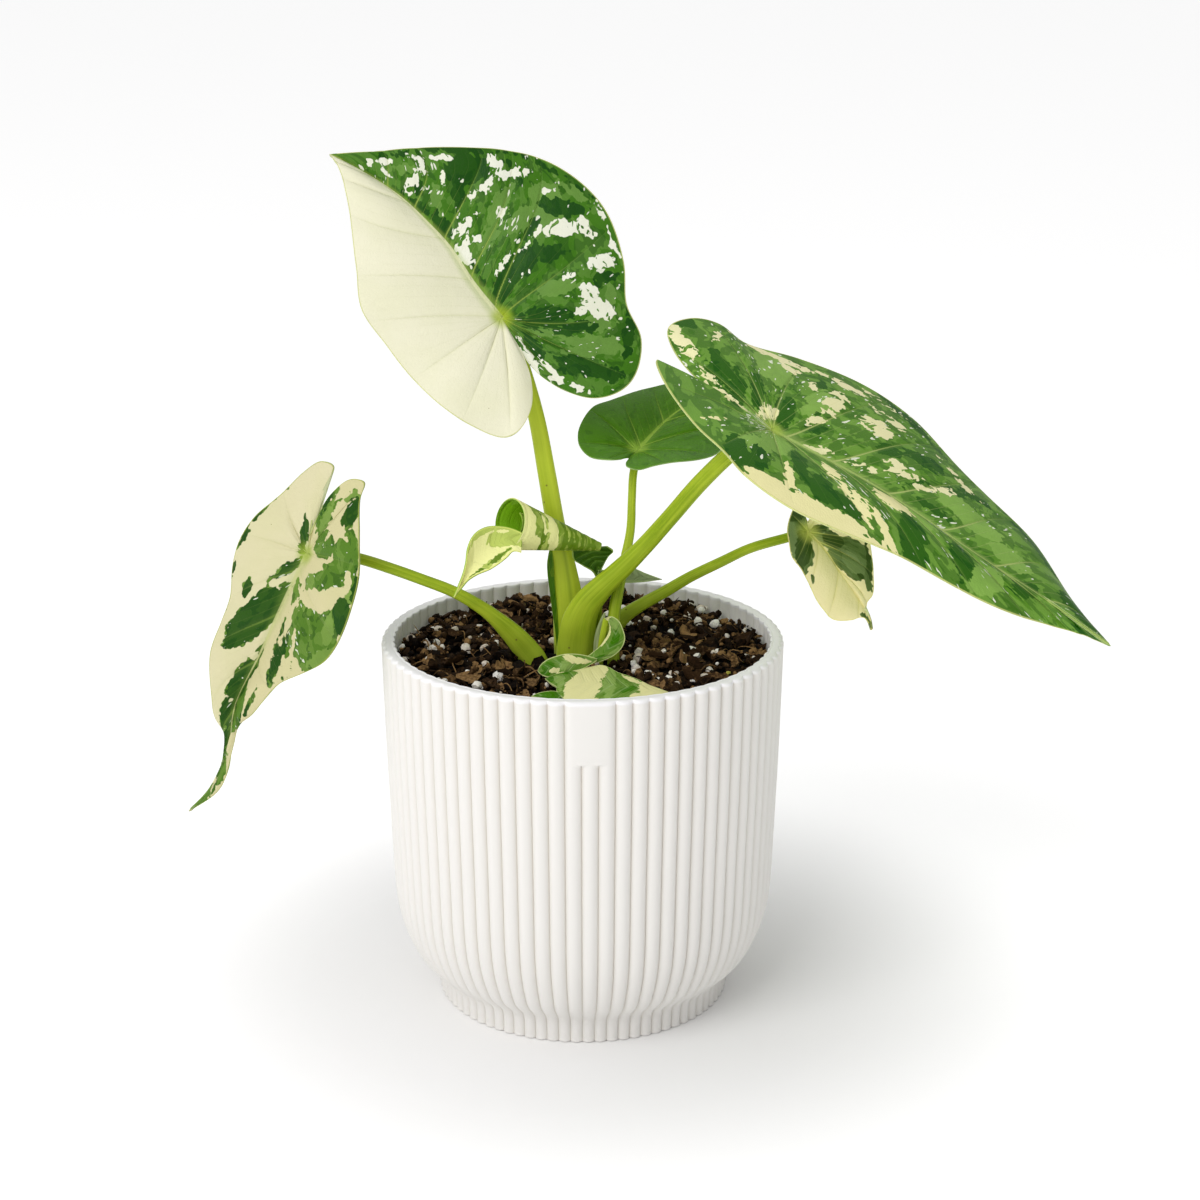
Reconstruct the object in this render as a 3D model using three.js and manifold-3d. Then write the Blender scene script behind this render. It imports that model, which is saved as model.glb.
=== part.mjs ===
// Potted alocasia gageana: seven leaves on stalks that stand in bark soil, in a ribbed round pot.
// Millimetres, +Z up. The origin is the centre of the pot's underside. -Y is the front, the side
// with the pot's smooth patch; +X is to the right when the front is looked at.

import * as THREE from 'three';
import { mergeVertices } from 'three/addons/utils/BufferGeometryUtils.js';
import Module from 'manifold-3d';

const wasm = await Module();
wasm.setup();

const WELD = 1e-4;

// Driving dimensions of the pot
const POT_HEIGHT = 130;
const RIM_RADIUS = 70;
const RIM_INNER_RADIUS = 65.3;
const WALL = 4.4;
const FLOOR = 5;
const FLOOR_RADIUS = 49;
const FOOT_RADIUS = 50.2;
const INNER_WALL_HEIGHTS = [14, 25, 40];
const RIB_COUNT = 77;
const RIB_DEPTH = 1.1;
const CREST_HALF = 0.28;
const RIB_TOP = 127;
const INNER_RIB_FOOT = 119;
const INNER_RIB_DEPTH = 0.7;
const PATCH_RIBS = 3;
const PATCH_FOOT = 107.5;
const PATCH_DEPTH = 2.4;
const PATCH_COLUMNS = 6;
const PATCH_TURN = THREE.MathUtils.degToRad(2);

// Outer outline of the pot over the rib crests: [height, radius]
const POT_OUTLINE = [
  [1.2, 51.3], [9, 51.8], [15, 58.4], [25, 63.7], [40, 66.7], [RIB_TOP, 69.5],
];

// Driving dimensions of the soil
const SOIL_LEVEL = 124;
const SOIL_GAP = 0.35;
const SOIL_SIDES = 36;
const SOIL_RINGS = 4;
const SOIL_BUMP = 1.1;
const LEAF_HOLLOW = 1.2;
const CROWN_RADIUS = 17;
const SCATTER_MARGIN = 9;
const CHIP_COUNT = 74;
const CHIP_LENGTH = [7, 13];
const CHIP_HEIGHT = [2.6, 4.2];
const CHIP_RISE = -0.2;
const GRAIN_COUNT = 40;
const GRAIN_RADIUS = [1.2, 2.3];
const GRAIN_RISE = 0.5;
const SOIL_SEED = 11;

// Driving dimensions shared by the leaves
const BLADE_THICKNESS = 0.7;
const CLEARANCE = 0.3;
const RIB_STEPS = 11;
const BLADE_COLUMNS = 3;
const STALK_SIDES = 10;
const ROLL_TURN_STEPS = 18;
const ROLL_LENGTH_STEPS = 8;

// The tall leaf: its upper side faces the front, tip up and to the left
const TALL_LEAF = {
  face: [0.08, -0.94, 0.34],
  rib: [[-84, 18, 293], [-70, 16, 279], [-56, 13, 266], [-41, 10, 252], [-27, 6, 240]],
  right: [
    [-84, 18, 293], [-66, 19, 294], [-51, 20, 295], [-27, 22, 294], [-12, 23, 290], [1, 21, 282],
    [9, 16, 273], [14, 11, 258], [15, 10, 244], [20, 5, 233], [18, 0, 222], [13, -3, 217],
    [4, -5, 215], [-7, -4, 218], [-16, -1, 224], [-22, 3, 233],
  ],
  left: [
    [-84, 18, 293], [-81, 16, 289], [-78, 12, 279], [-75, 4, 258], [-73, -1, 244], [-65, -4, 233],
    [-57, -7, 223], [-47, -11, 214], [-37, -14, 208], [-26, -15, 204], [-21, -14, 206],
    [-17, -10, 213], [-17, -5, 221], [-19, -1, 227], [-22, 3, 233],
  ],
  lobeFrom: { right: 8, left: 5 },
  arch: 2.5,
  wave: { count: 4.5, height: 0.7 },
};
const TALL_STALK = [
  [-3.5, 1.6, 106, 3.4, 2.6], [-4.2, 1.2, 124, 5, 3.3], [-4.5, 1.2, 135, 4.9, 3.3],
  [-5, 1.5, 142.5, 4.6, 3.2], [-6.6, 2, 156.5, 3.6, 3], [-8.8, 2.5, 167, 3.3, 2.9],
  [-12, 3, 186.5, 3.1, 2.7], [-15.3, 4, 205.5, 2.8, 2.5], [-19.3, 6, 221, 2.5, 2.3],
  [-23, 8.5, 231.5, 2.4, 2.2], [-26, 9, 238.5, 2.3, 2.1], [-28, 5, 242.5, 2, 2],
];

// The broad leaf: it lies out to the right with its tip down and its two lobes turned up
const BROAD_LEAF = {
  face: [0.46, -0.3, 0.83],
  rib: [[177, -28, 135], [156, -27, 150], [134, -25, 164], [99, -20, 187], [63, -15, 206]],
  right: [
    [177, -28, 135], [167, -13, 145], [155, 6, 162], [140, 16, 176], [130, 23, 185],
    [116, 33, 198], [98, 36, 210], [75, 31, 221], [56, 24, 228], [47, 23, 234], [37, 18, 237],
    [29, 8, 236], [31, 0, 230], [37, -7, 223], [45, -12, 217], [56, -14, 210],
  ],
  left: [
    [177, -28, 135], [170, -24, 137], [157, -28, 142], [139, -38, 151], [121, -43, 161],
    [105, -45, 170], [92, -49, 177], [68, -55, 190], [52, -53, 201], [45, -48, 207],
    [37, -41, 213], [28, -25, 223], [25, -9, 229], [33, -14, 223], [43, -13, 217], [56, -14, 210],
  ],
  lobeFrom: { right: 7, left: 7 },
  arch: 3.5,
  wave: { count: 3.5, height: 0.6 },
};
const BROAD_STALK = [
  [-2, -7, 104, 4.2, 3.2], [-2.5, -7, 125, 6, 4], [-2, -7, 131, 6, 4], [-1, -7.5, 138, 5.7, 4],
  [1.5, -8, 144, 4.9, 3.9], [6, -8.5, 149.5, 4.2, 3.6], [11, -9, 154.5, 3.7, 3.3],
  [20, -10, 164, 3.1, 2.9], [29.5, -11.5, 175.5, 2.9, 2.7], [40, -13, 188.5, 2.9, 2.6],
  [51, -14, 199.5, 2.8, 2.5], [59, -14.5, 204.5, 2.6, 2.4], [67, -15, 209, 2.4, 2.4],
];

// The back leaf: small, round and dark, behind the broad leaf
const BACK_LEAF = {
  face: [0, -0.46, 0.88],
  rib: [[47, 47, 204], [38, 38, 203], [29, 28, 199], [19, 14, 192]],
  right: [
    [47, 47, 204], [50, 40, 202], [51, 30, 198], [50, 18, 195], [46, 8, 193], [39, 2, 192],
    [30, -1, 191.5], [24, -3, 191], [19, -3, 190], [15, -1, 190.7], [16, 7, 191.5],
  ],
  left: [
    [47, 47, 204], [40, 48, 207], [32, 47, 208], [24, 43, 207.5], [17, 38, 207], [10, 32, 206],
    [4, 26, 205], [0.5, 19, 202], [-1.5, 12, 198], [-0.5, 6, 195], [3, 2, 193], [9, 1, 192.5],
    [13, 3, 192], [16, 7, 191.5],
  ],
  lobeFrom: { right: 3, left: 7 },
  arch: 1.5,
  wave: { count: 2, height: 0.5 },
};
const BACK_STALK = [
  [9.5, -13, 108, 1.9, 1.9], [10.5, -12.5, 123.5, 2.1, 2.1], [10.5, -9.5, 131.5, 2.1, 2.1],
  [11, -6, 141, 2.1, 2.1], [12.5, -3.5, 149, 2, 2], [14.5, -1, 157.5, 1.7, 1.7],
  [16.5, 3, 167, 1.5, 1.5], [17, 7, 176.5, 1.4, 1.4], [17.5, 10.5, 184.5, 1.4, 1.4],
  [18.8, 13.3, 190.5, 1.4, 1.4], [20, 14.5, 195, 1.2, 1.2],
];

// The side leaf: small, it droops below the broad leaf
const SIDE_LEAF = {
  face: [0.15, -0.9, 0.4],
  rib: [
    [100.5, 3.5, 130.5], [99.5, 5, 134.5], [97, 6.5, 139.5], [89.5, 11, 149.5], [84, 14, 157],
    [78.5, 15.5, 162.5],
  ],
  right: [
    [100.5, 3.5, 130.5], [100, 4.5, 133.5], [98.5, 6, 137], [99, 7, 139.5], [101, 8.5, 142],
    [101.5, 12.5, 148.5], [101, 16, 154], [100, 19.5, 160], [96.5, 22, 167], [89.5, 21.5, 171],
    [82, 19, 170], [78.5, 16.5, 166],
  ],
  left: [
    [100.5, 3.5, 130.5], [97.5, 3.5, 135], [93, 2.5, 134.5], [86.5, 2, 135], [83.5, 3.5, 138],
    [81, 5, 141.5], [78, 7, 147.5], [76, 8.5, 151], [73, 10.5, 154.5], [72, 13.5, 159],
    [71.5, 16.5, 163.5], [73.5, 19.5, 169.5], [75.5, 19.5, 172], [77, 17.5, 169],
    [78.5, 16.5, 166],
  ],
  lobeFrom: { right: 7, left: 8 },
  arch: 1.5,
  wave: { count: 2, height: 0.3 },
};
const SIDE_STALK = [
  [11, 6.5, 108, 2.2, 2.2], [9.5, 5.5, 124, 3, 2.8], [10, 5.5, 129.5, 3.1, 2.8],
  [12.5, 6, 133, 2.9, 2.7], [16, 6.5, 136, 2.5, 2.4], [21.5, 7.5, 139.3, 2.2, 2.2],
  [28.5, 8.5, 143, 2.1, 2.1], [37.5, 10, 148, 1.9, 1.9], [48, 12.5, 152.5, 1.8, 1.8],
  [58.5, 16, 156.5, 1.7, 1.7], [71, 20, 159, 1.7, 1.7], [77, 19, 161, 1.7, 1.7],
  [80.5, 12, 163, 1.5, 1.5],
];

// The hanging leaf: it hangs over the pot's left side, tip down with a long drip tip
const HANGING_LEAF = {
  face: [-0.6, -0.75, 0.25],
  rib: [
    [-138, -8, 68], [-127, -12, 81], [-122, -11, 95], [-120, -6, 107], [-111, -6, 125],
    [-103, -7, 142], [-93, -8, 162],
  ],
  right: [
    [-138, -8, 68], [-125, -13.5, 80], [-120.5, -12.5, 95], [-119, -11, 101], [-113, -14, 107],
    [-103, -19, 119], [-95, -23, 124], [-87, -28, 130], [-82, -29, 137], [-77, -30, 148],
    [-74, -28, 159], [-74, -25, 172], [-74, -20, 184], [-72, -20, 190], [-77, -16, 190],
    [-84, -13, 184], [-89, -11, 176], [-92, -10, 169],
  ],
  left: [
    [-138, -8, 68], [-127.6, -11.4, 80.4], [-123, -10.5, 93], [-124, -8, 97], [-128, -4, 102],
    [-129, -1, 110], [-129, 3, 123], [-125, 4, 134], [-122, 4, 143], [-121, 7, 153],
    [-118, 8, 162], [-112, 6, 171], [-105, 2, 178], [-101, 1, 182], [-94, -2, 189],
    [-87, -7, 194], [-83, -10, 193], [-86, -10, 187], [-90, -9, 179], [-92, -10, 169],
  ],
  lobeFrom: { right: 10, left: 10 },
  arch: 2,
  wave: { count: 4, height: 0.5 },
};
const HANGING_STALK = [
  [-13.5, -7.5, 108, 2.8, 2.4], [-16.5, -8, 123.5, 4.2, 2.7], [-19.3, -8, 127.5, 4.2, 2.7],
  [-22.5, -8.5, 131.7, 3.9, 2.6], [-26, -8.7, 135.5, 3.4, 2.5], [-30, -9, 139.4, 2.7, 2.3],
  [-34.5, -9.5, 143.2, 2.3, 2.2], [-43.5, -10.5, 149, 2, 2], [-54.5, -11, 153.7, 1.9, 1.9],
  [-64.5, -10.5, 157.3, 1.9, 1.9], [-75, -8, 160, 1.9, 1.9], [-87, -4.5, 161.5, 1.9, 1.9],
  [-92.5, -5.5, 161.5, 1.9, 1.9], [-95, -12, 161, 1.7, 1.7],
];

// The rolled leaf: a young blade still rolled into a cone, with a loose pale tip
const ROLL = {
  from: [8, -5.6, 163.2],
  to: [-21, -12, 171.9],
  radiusFrom: 1.3,
  radiusTo: 7.8,
  start: -80,
  turn: 500,
  tighten: 0.42,
  backReach: 0.26,
};
const ROLL_TIP_UPPER = [
  [-20, -8.5, 168], [-26.5, -11.5, 171.5], [-30.5, -13, 173], [-34.5, -15, 172], [-37, -16, 169],
  [-38.5, -18, 162.5], [-40, -19, 158.5], [-42, -20, 154.5], [-43, -22, 150],
];
const ROLL_TIP_LOWER = [
  [-20, -13.5, 164], [-24, -17, 165], [-26.5, -18, 162], [-30, -19.5, 160], [-34.5, -20.5, 158.5],
  [-38, -21, 156], [-41.5, -21.5, 152.5], [-43, -22, 150],
];
const ROLL_BASE_LEFT = [
  [5, -2.3, 151], [3.5, -3.5, 154], [0, -4.5, 156.5], [-3, -5.5, 159], [-3.5, -6, 162.5],
];
const ROLL_BASE_RIGHT = [
  [5, -2.3, 151], [7, -2.5, 155.5], [9, -3.5, 159.5], [10.5, -4, 161.5], [8.5, -5, 163.5],
];
const ROLL_LOBE_UPPER = [
  [5.5, -3.2, 154.5], [10.5, 1, 153.3], [17.5, 4, 153], [21.5, 5, 151], [27.5, 5.5, 148.5],
];
const ROLL_LOBE_LOWER = [
  [5, -2.5, 151.3], [9.5, 1.5, 148.8], [15.5, 4.5, 147.7], [20, 5, 147.7], [27.5, 5.5, 148.5],
];
const ROLL_STALK = [
  [4.6, 2.4, 110, 1.9, 1.9], [4.5, 2, 127.5, 2.1, 2.1], [4.7, 1, 137, 2, 2],
  [5.3, -0.4, 145, 1.8, 1.8], [5.2, -1.7, 149.8, 1.5, 1.5],
];

// The low leaf: it rests on the soil at the front, with one side twisted up to the crown
const LOW_RIBBON_OUTER = [
  [7, -17, 142], [9, -18, 143.3], [12, -19, 141.5], [14.5, -20, 137.5], [14, -21, 134.5],
  [12, -22, 131], [6.5, -24, 128.5], [1.5, -25, 127], [-3.5, -26, 126.4], [-7, -27, 126],
  [-12.5, -28, 126], [-15.5, -28, 127],
];
const LOW_RIBBON_INNER = [
  [7, -17, 141.6], [7.8, -17.5, 140.5], [8.8, -18, 138], [8.8, -18.5, 135], [7, -19, 132.5],
  [4, -20, 130.5], [2, -20.5, 130], [-1.5, -21.5, 130.5], [-5.5, -23, 130.5],
  [-11.5, -25, 130.5], [-15.5, -28, 127],
];
const LOW_BLADE_BACK = [
  [-17, -54, 128], [-12, -52.5, 128], [-8, -49, 128.3], [-8, -41, 128.2], [-3.5, -33, 128],
  [2, -26.5, 128.3], [5.5, -24, 128.5], [9.5, -33, 129.5], [14.5, -38.5, 129], [20, -43.5, 128.5],
  [25, -47.5, 128], [28, -51.5, 127.5],
];
const LOW_BLADE_FRONT = [
  [-17, -54, 128], [-14, -57, 127.5], [-11, -59, 127], [-8, -60, 127], [-4, -61, 127],
  [1, -62, 127], [6, -62, 127], [11, -61, 127], [16, -59.5, 127], [21, -57, 127],
  [25, -54.5, 127], [28, -51.5, 127.5],
];
const LOW_STALK = [
  [5.4, -15, 112, 1.1, 1.1], [5.8, -15.6, 124, 1.2, 1.2], [6.6, -16, 133, 1.2, 1.2],
  [8, -16.8, 141.2, 1.1, 1.1],
];

// The small papery sheath that stands between the stalks
const SHEATH = [
  [5.2, -11, 114, 1.2, 0.45], [5.3, -11.3, 124, 1.7, 0.5], [5.4, -11.4, 130, 1.7, 0.5],
  [5.9, -11.2, 135, 1.4, 0.45], [7, -10.8, 139.5, 0.8, 0.4], [7.5, -10.5, 141.5, 0.3, 0.3],
];

const materials = {
  pot: finish('#ebeae6', 0.55),
  soil: finish('#35251b', 0.95),
  tallBlade: finish('#8fa467', 0.42),
  broadBlade: finish('#5f8a45', 0.42),
  backBlade: finish('#2f6a22', 0.35),
  sideBlade: finish('#a9ad74', 0.45),
  hangingBlade: finish('#9fae74', 0.42),
  rolledBlade: finish('#9fb46a', 0.45),
  lowBlade: finish('#8aa676', 0.5),
  stalk: finish('#93ab3a', 0.45),
  sheath: finish('#c3cf9c', 0.7),
};

function finish(colour, roughness) {
  return new THREE.MeshStandardMaterial({ color: new THREE.Color(colour), roughness, metalness: 0 });
}

function vector([x, y, z]) {
  return new THREE.Vector3(x, y, z);
}

function smoothCurve(points) {
  return new THREE.CatmullRomCurve3(points.map(vector), false, 'centripetal');
}

// Geometry of a list of points and a list of point triples, with shared points merged
function indexedGeometry(points, triples) {
  const geometry = new THREE.BufferGeometry();
  const numbers = points.flatMap((point) => [point.x, point.y, point.z]);
  geometry.setAttribute('position', new THREE.Float32BufferAttribute(numbers, 3));
  geometry.setIndex(triples.flat());
  const merged = mergeVertices(geometry, WELD);
  const kept = [];
  for (let i = 0; i < merged.index.count; i += 3) {
    const [a, b, c] = [0, 1, 2].map((k) => merged.index.getX(i + k));
    if (a !== b && b !== c && c !== a) kept.push(a, b, c);
  }
  merged.setIndex(kept);
  return merged;
}

function solidOf(geometry) {
  const vertProperties = new Float32Array(geometry.attributes.position.array);
  const triVerts = new Uint32Array(geometry.index.array);
  return new wasm.Manifold(new wasm.Mesh({ numProp: 3, vertProperties, triVerts }));
}

function geometryOf(solid) {
  const { vertProperties, triVerts } = solid.getMesh();
  const geometry = new THREE.BufferGeometry();
  geometry.setAttribute('position', new THREE.BufferAttribute(new Float32Array(vertProperties), 3));
  geometry.setIndex(Array.from(triVerts));
  return geometry;
}

function largestPiece(solid) {
  const pieces = solid.decompose();
  return pieces.reduce((best, piece) => (piece.volume() > best.volume() ? piece : best));
}

// Triangles between two closed rings of points; the counts may differ
function ringBand(lower, upper) {
  const triples = [];
  const total = lower.length + upper.length;
  let low = 0;
  let high = 0;
  while (low + high < total) {
    const stepLow = (low + 1) / lower.length <= (high + 1) / upper.length;
    const a = lower[low % lower.length];
    const b = upper[high % upper.length];
    if (stepLow) {
      low += 1;
      triples.push([a, lower[low % lower.length], b]);
    } else {
      high += 1;
      triples.push([a, upper[high % upper.length], b]);
    }
  }
  return triples;
}

// Closed solid of rings stacked from the lower pole to the upper pole, each ring turning left
function stackedRings(rings, lowerPole, upperPole) {
  const points = [lowerPole, upperPole];
  const ids = rings.map((ring) => ring.map((point) => points.push(point) - 1));
  const triples = [];
  const first = ids[0];
  const last = ids[ids.length - 1];
  first.forEach((id, i) => triples.push([0, first[(i + 1) % first.length], id]));
  for (let i = 0; i + 1 < ids.length; i += 1) triples.push(...ringBand(ids[i], ids[i + 1]));
  last.forEach((id, i) => triples.push([1, id, last[(i + 1) % last.length]]));
  return indexedGeometry(points, triples);
}

function circleRing(radius, height, count) {
  return Array.from({ length: count }, (_, i) => {
    const angle = (i / count) * 2 * Math.PI;
    return new THREE.Vector3(radius * Math.cos(angle), radius * Math.sin(angle), height);
  });
}

// Ring with a groove between every two ribs: two crest points and one groove point a rib
function ribbedRing(radius, height, depth) {
  const ring = [];
  for (let rib = 0; rib < RIB_COUNT; rib += 1) {
    for (const [offset, sink] of [[-CREST_HALF, 0], [CREST_HALF, 0], [0.5, depth]]) {
      const angle = ribAngle(rib + offset);
      const reach = radius - sink;
      ring.push(new THREE.Vector3(reach * Math.cos(angle), reach * Math.sin(angle), height));
    }
  }
  return ring;
}

// Rib 0 stands in the middle of the smooth patch, at the front
function ribAngle(rib) {
  return -Math.PI / 2 + PATCH_TURN + (rib / RIB_COUNT) * 2 * Math.PI;
}

function turned(ring, angle) {
  const axis = new THREE.Vector3(0, 0, 1);
  return ring.map((point) => point.clone().applyAxisAngle(axis, angle));
}

// Ring of one groove and one crest a rib, for the inside of the wall
function innerRibbedRing(radius, height) {
  const ring = [];
  for (let rib = 0; rib < RIB_COUNT; rib += 1) {
    for (const [offset, sink] of [[0, INNER_RIB_DEPTH], [0.5, 0]]) {
      const angle = ribAngle(rib + offset);
      const reach = radius - sink;
      ring.push(new THREE.Vector3(reach * Math.cos(angle), reach * Math.sin(angle), height));
    }
  }
  return ring;
}

// Radius of the pot over the rib crests at a height
function outlineRadius(height) {
  const upper = POT_OUTLINE.findIndex(([level]) => level >= height);
  const [[lowLevel, lowRadius], [highLevel, highRadius]] = [POT_OUTLINE[upper - 1], POT_OUTLINE[upper]];
  return between([lowRadius, highRadius], (height - lowLevel) / (highLevel - lowLevel));
}

function potGeometry() {
  const plain = (radius, height) => turned(circleRing(radius, height, RIB_COUNT), ribAngle(0));
  const ribbed = POT_OUTLINE.map(([height, radius]) => {
    return ribbedRing(radius, height, RIB_DEPTH * (radius / RIM_RADIUS));
  });
  const innerWall = [...INNER_WALL_HEIGHTS].reverse();
  const rings = [
    plain(FOOT_RADIUS, 0),
    ...ribbed,
    plain(RIM_RADIUS - 0.15, RIB_TOP + 0.5),
    plain(RIM_RADIUS, POT_HEIGHT - 1.2),
    plain(RIM_RADIUS - 0.9, POT_HEIGHT),
    plain(RIM_INNER_RADIUS + 0.9, POT_HEIGHT),
    plain(RIM_INNER_RADIUS, POT_HEIGHT - 1),
    plain(RIM_INNER_RADIUS, RIB_TOP + 0.8),
    innerRibbedRing(RIM_INNER_RADIUS, RIB_TOP),
    innerRibbedRing(RIM_INNER_RADIUS - 0.3, INNER_RIB_FOOT),
    plain(RIM_INNER_RADIUS - 0.4, INNER_RIB_FOOT - 1),
    ...innerWall.map((height) => plain(outlineRadius(height) - WALL, height)),
    plain(FLOOR_RADIUS, FLOOR),
  ];
  const shell = stackedRings(rings, new THREE.Vector3(0, 0, 0), new THREE.Vector3(0, 0, FLOOR));
  return geometryOf(solidOf(shell).add(solidOf(patchGeometry())));
}

// The smooth patch: a curved slab, flush with the crests, over three ribs and up to the rim
function patchGeometry() {
  const columns = PATCH_COLUMNS;
  const half = (PATCH_RIBS / 2) - 0.05;
  const outer = [];
  const inner = [];
  for (let i = 0; i <= columns; i += 1) {
    const angle = ribAngle(-half + (2 * half * i) / columns);
    const rows = [[PATCH_FOOT, 69.02], [RIB_TOP + 0.3, 69.72]];
    for (const [height, radius] of rows) {
      outer.push(new THREE.Vector3(radius * Math.cos(angle), radius * Math.sin(angle), height));
      const root = radius - PATCH_DEPTH;
      inner.push(new THREE.Vector3(root * Math.cos(angle), root * Math.sin(angle), height));
    }
  }
  const points = [...outer, ...inner];
  const count = outer.length;
  const triples = [];
  const quad = (a, b, c, d) => triples.push([a, b, c], [a, c, d]);
  for (let i = 0; i < columns; i += 1) {
    const k = 2 * i;
    quad(k, k + 2, k + 3, k + 1);
    quad(count + k + 1, count + k + 3, count + k + 2, count + k);
    quad(count + k, count + k + 2, k + 2, k);
    quad(k + 1, k + 3, count + k + 3, count + k + 1);
  }
  quad(count, 0, 1, count + 1);
  quad(count - 2, 2 * count - 2, 2 * count - 1, count - 1);
  return indexedGeometry(points, triples);
}

// Seeded random numbers from 0 to 1
function seeded(seed) {
  let state = seed;
  return () => {
    state = (state + 0x6d2b79f5) | 0;
    let mixed = Math.imul(state ^ (state >>> 15), 1 | state);
    mixed = (mixed + Math.imul(mixed ^ (mixed >>> 7), 61 | mixed)) ^ mixed;
    return ((mixed ^ (mixed >>> 14)) >>> 0) / 4294967296;
  };
}

function between([low, high], fraction) {
  return low + (high - low) * fraction;
}

// Height of the soil before chips: it sinks a little where the low leaf rests
function soilHeight(x, y) {
  const bump = Math.sin(x * 0.31 + y * 0.17) + Math.sin(y * 0.37 - x * 0.13 + 1.7);
  const hollow = isUnderLowLeaf(x, y) ? LEAF_HOLLOW : 0;
  return SOIL_LEVEL + 0.5 * SOIL_BUMP * bump - hollow;
}

function isUnderLowLeaf(x, y) {
  return y < -19 && x > -24 && x < 34;
}

function soilBodyGeometry() {
  const wallGap = SOIL_GAP + INNER_RIB_DEPTH;
  const rim = RIM_INNER_RADIUS - 0.4 - wallGap;
  const sides = [
    [FLOOR_RADIUS - wallGap, FLOOR + SOIL_GAP],
    ...INNER_WALL_HEIGHTS.map((height) => [outlineRadius(height) - WALL - wallGap, height]),
    [rim, INNER_RIB_FOOT - 1],
  ];
  const rings = sides.map(([radius, height]) => circleRing(radius, height, SOIL_SIDES));
  for (let ring = SOIL_RINGS; ring >= 1; ring -= 1) {
    const flat = circleRing((rim * ring) / SOIL_RINGS, 0, SOIL_SIDES);
    rings.push(flat.map((point) => point.setZ(soilHeight(point.x, point.y))));
  }
  const base = new THREE.Vector3(0, 0, FLOOR + SOIL_GAP);
  return stackedRings(rings, base, new THREE.Vector3(0, 0, soilHeight(0, 0)));
}

// A bark chip: a block with uneven corners, its two ends turned down into the soil
function chipGeometry(random) {
  const length = between(CHIP_LENGTH, random());
  const width = length * between([0.3, 0.5], random());
  const height = between(CHIP_HEIGHT, random());
  const geometry = new THREE.BoxGeometry(length, width, height);
  geometry.deleteAttribute('normal');
  geometry.deleteAttribute('uv');
  const chip = mergeVertices(geometry, WELD);
  const position = chip.attributes.position;
  for (let i = 0; i < position.count; i += 1) {
    const squeeze = between([0.65, 1.1], random());
    position.setXYZ(i, position.getX(i) * squeeze, position.getY(i) * squeeze, position.getZ(i));
  }
  chip.rotateX(between([-0.3, 0.3], random()));
  chip.rotateY(between([-0.16, 0.16], random()));
  chip.rotateZ(between([0, Math.PI], random()));
  return chip;
}

function grainGeometry(random) {
  const geometry = new THREE.OctahedronGeometry(between(GRAIN_RADIUS, random()), 0);
  geometry.deleteAttribute('normal');
  geometry.deleteAttribute('uv');
  const grain = mergeVertices(geometry, WELD);
  grain.rotateX(3 * random());
  grain.rotateZ(3 * random());
  return grain;
}

// Chips and grains lie all over the soil, clear of the wall, the stalks and the low leaf
function scatterOnSoil(body, random, count, rise, makeGeometry) {
  let soil = body;
  const reach = RIM_INNER_RADIUS - SCATTER_MARGIN;
  for (let i = 0; i < count; i += 1) {
    const radius = reach * Math.sqrt(random());
    const angle = 2 * Math.PI * random();
    const piece = makeGeometry(random);
    const x = radius * Math.cos(angle);
    const y = radius * Math.sin(angle);
    if (!isUnderLowLeaf(x, y) && Math.hypot(x, y + 3) > CROWN_RADIUS) {
      piece.translate(x, y, soilHeight(x, y) + rise);
      soil = soil.add(solidOf(piece));
    }
  }
  return soil;
}

function soilGeometry(stalks) {
  const random = seeded(SOIL_SEED);
  let soil = solidOf(soilBodyGeometry());
  soil = scatterOnSoil(soil, random, CHIP_COUNT, CHIP_RISE, chipGeometry);
  soil = scatterOnSoil(soil, random, GRAIN_COUNT, GRAIN_RISE, grainGeometry);
  for (const stalk of stalks) soil = soil.subtract(solidOf(stalkGeometry(stalk, CLEARANCE)));
  return geometryOf(largestPiece(soil));
}

// A stalk: rows of [x, y, z, half width, half depth] swept as a closed body with an oval section
function stalkGeometry(rows, grow = 0) {
  const curve = smoothCurve(rows);
  const steps = (rows.length - 1) * 2;
  const rings = [];
  for (let i = 0; i <= steps; i += 1) {
    const along = (i / steps) * (rows.length - 1);
    const row = Math.min(Math.floor(along), rows.length - 2);
    const part = along - row;
    const centre = curve.getPoint(i / steps);
    const tangent = curve.getTangent(i / steps);
    const side = new THREE.Vector3(0, -1, 0).cross(tangent).normalize();
    const front = tangent.clone().cross(side);
    const width = grow + rows[row][3] + (rows[row + 1][3] - rows[row][3]) * part;
    const depth = grow + rows[row][4] + (rows[row + 1][4] - rows[row][4]) * part;
    if (i === 0) centre.addScaledVector(tangent, -grow);
    rings.push(Array.from({ length: STALK_SIDES }, (_, k) => {
      const angle = (k / STALK_SIDES) * 2 * Math.PI;
      const across = side.clone().multiplyScalar(width * Math.cos(angle));
      return centre.clone().add(across).addScaledVector(front, depth * Math.sin(angle));
    }));
  }
  const start = curve.getPoint(0).addScaledVector(curve.getTangent(0), -grow);
  return stackedRings(rings, start, curve.getPoint(1));
}

// Grid of points from a root row to a margin row, bowed by bow(step, fraction)
function sheetColumns(roots, margins, columns, bow) {
  return roots.map((root, step) => {
    return Array.from({ length: columns + 1 }, (_, column) => {
      const fraction = column / columns;
      return root.clone().lerp(margins[step], fraction).add(bow(step, fraction));
    });
  });
}

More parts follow.
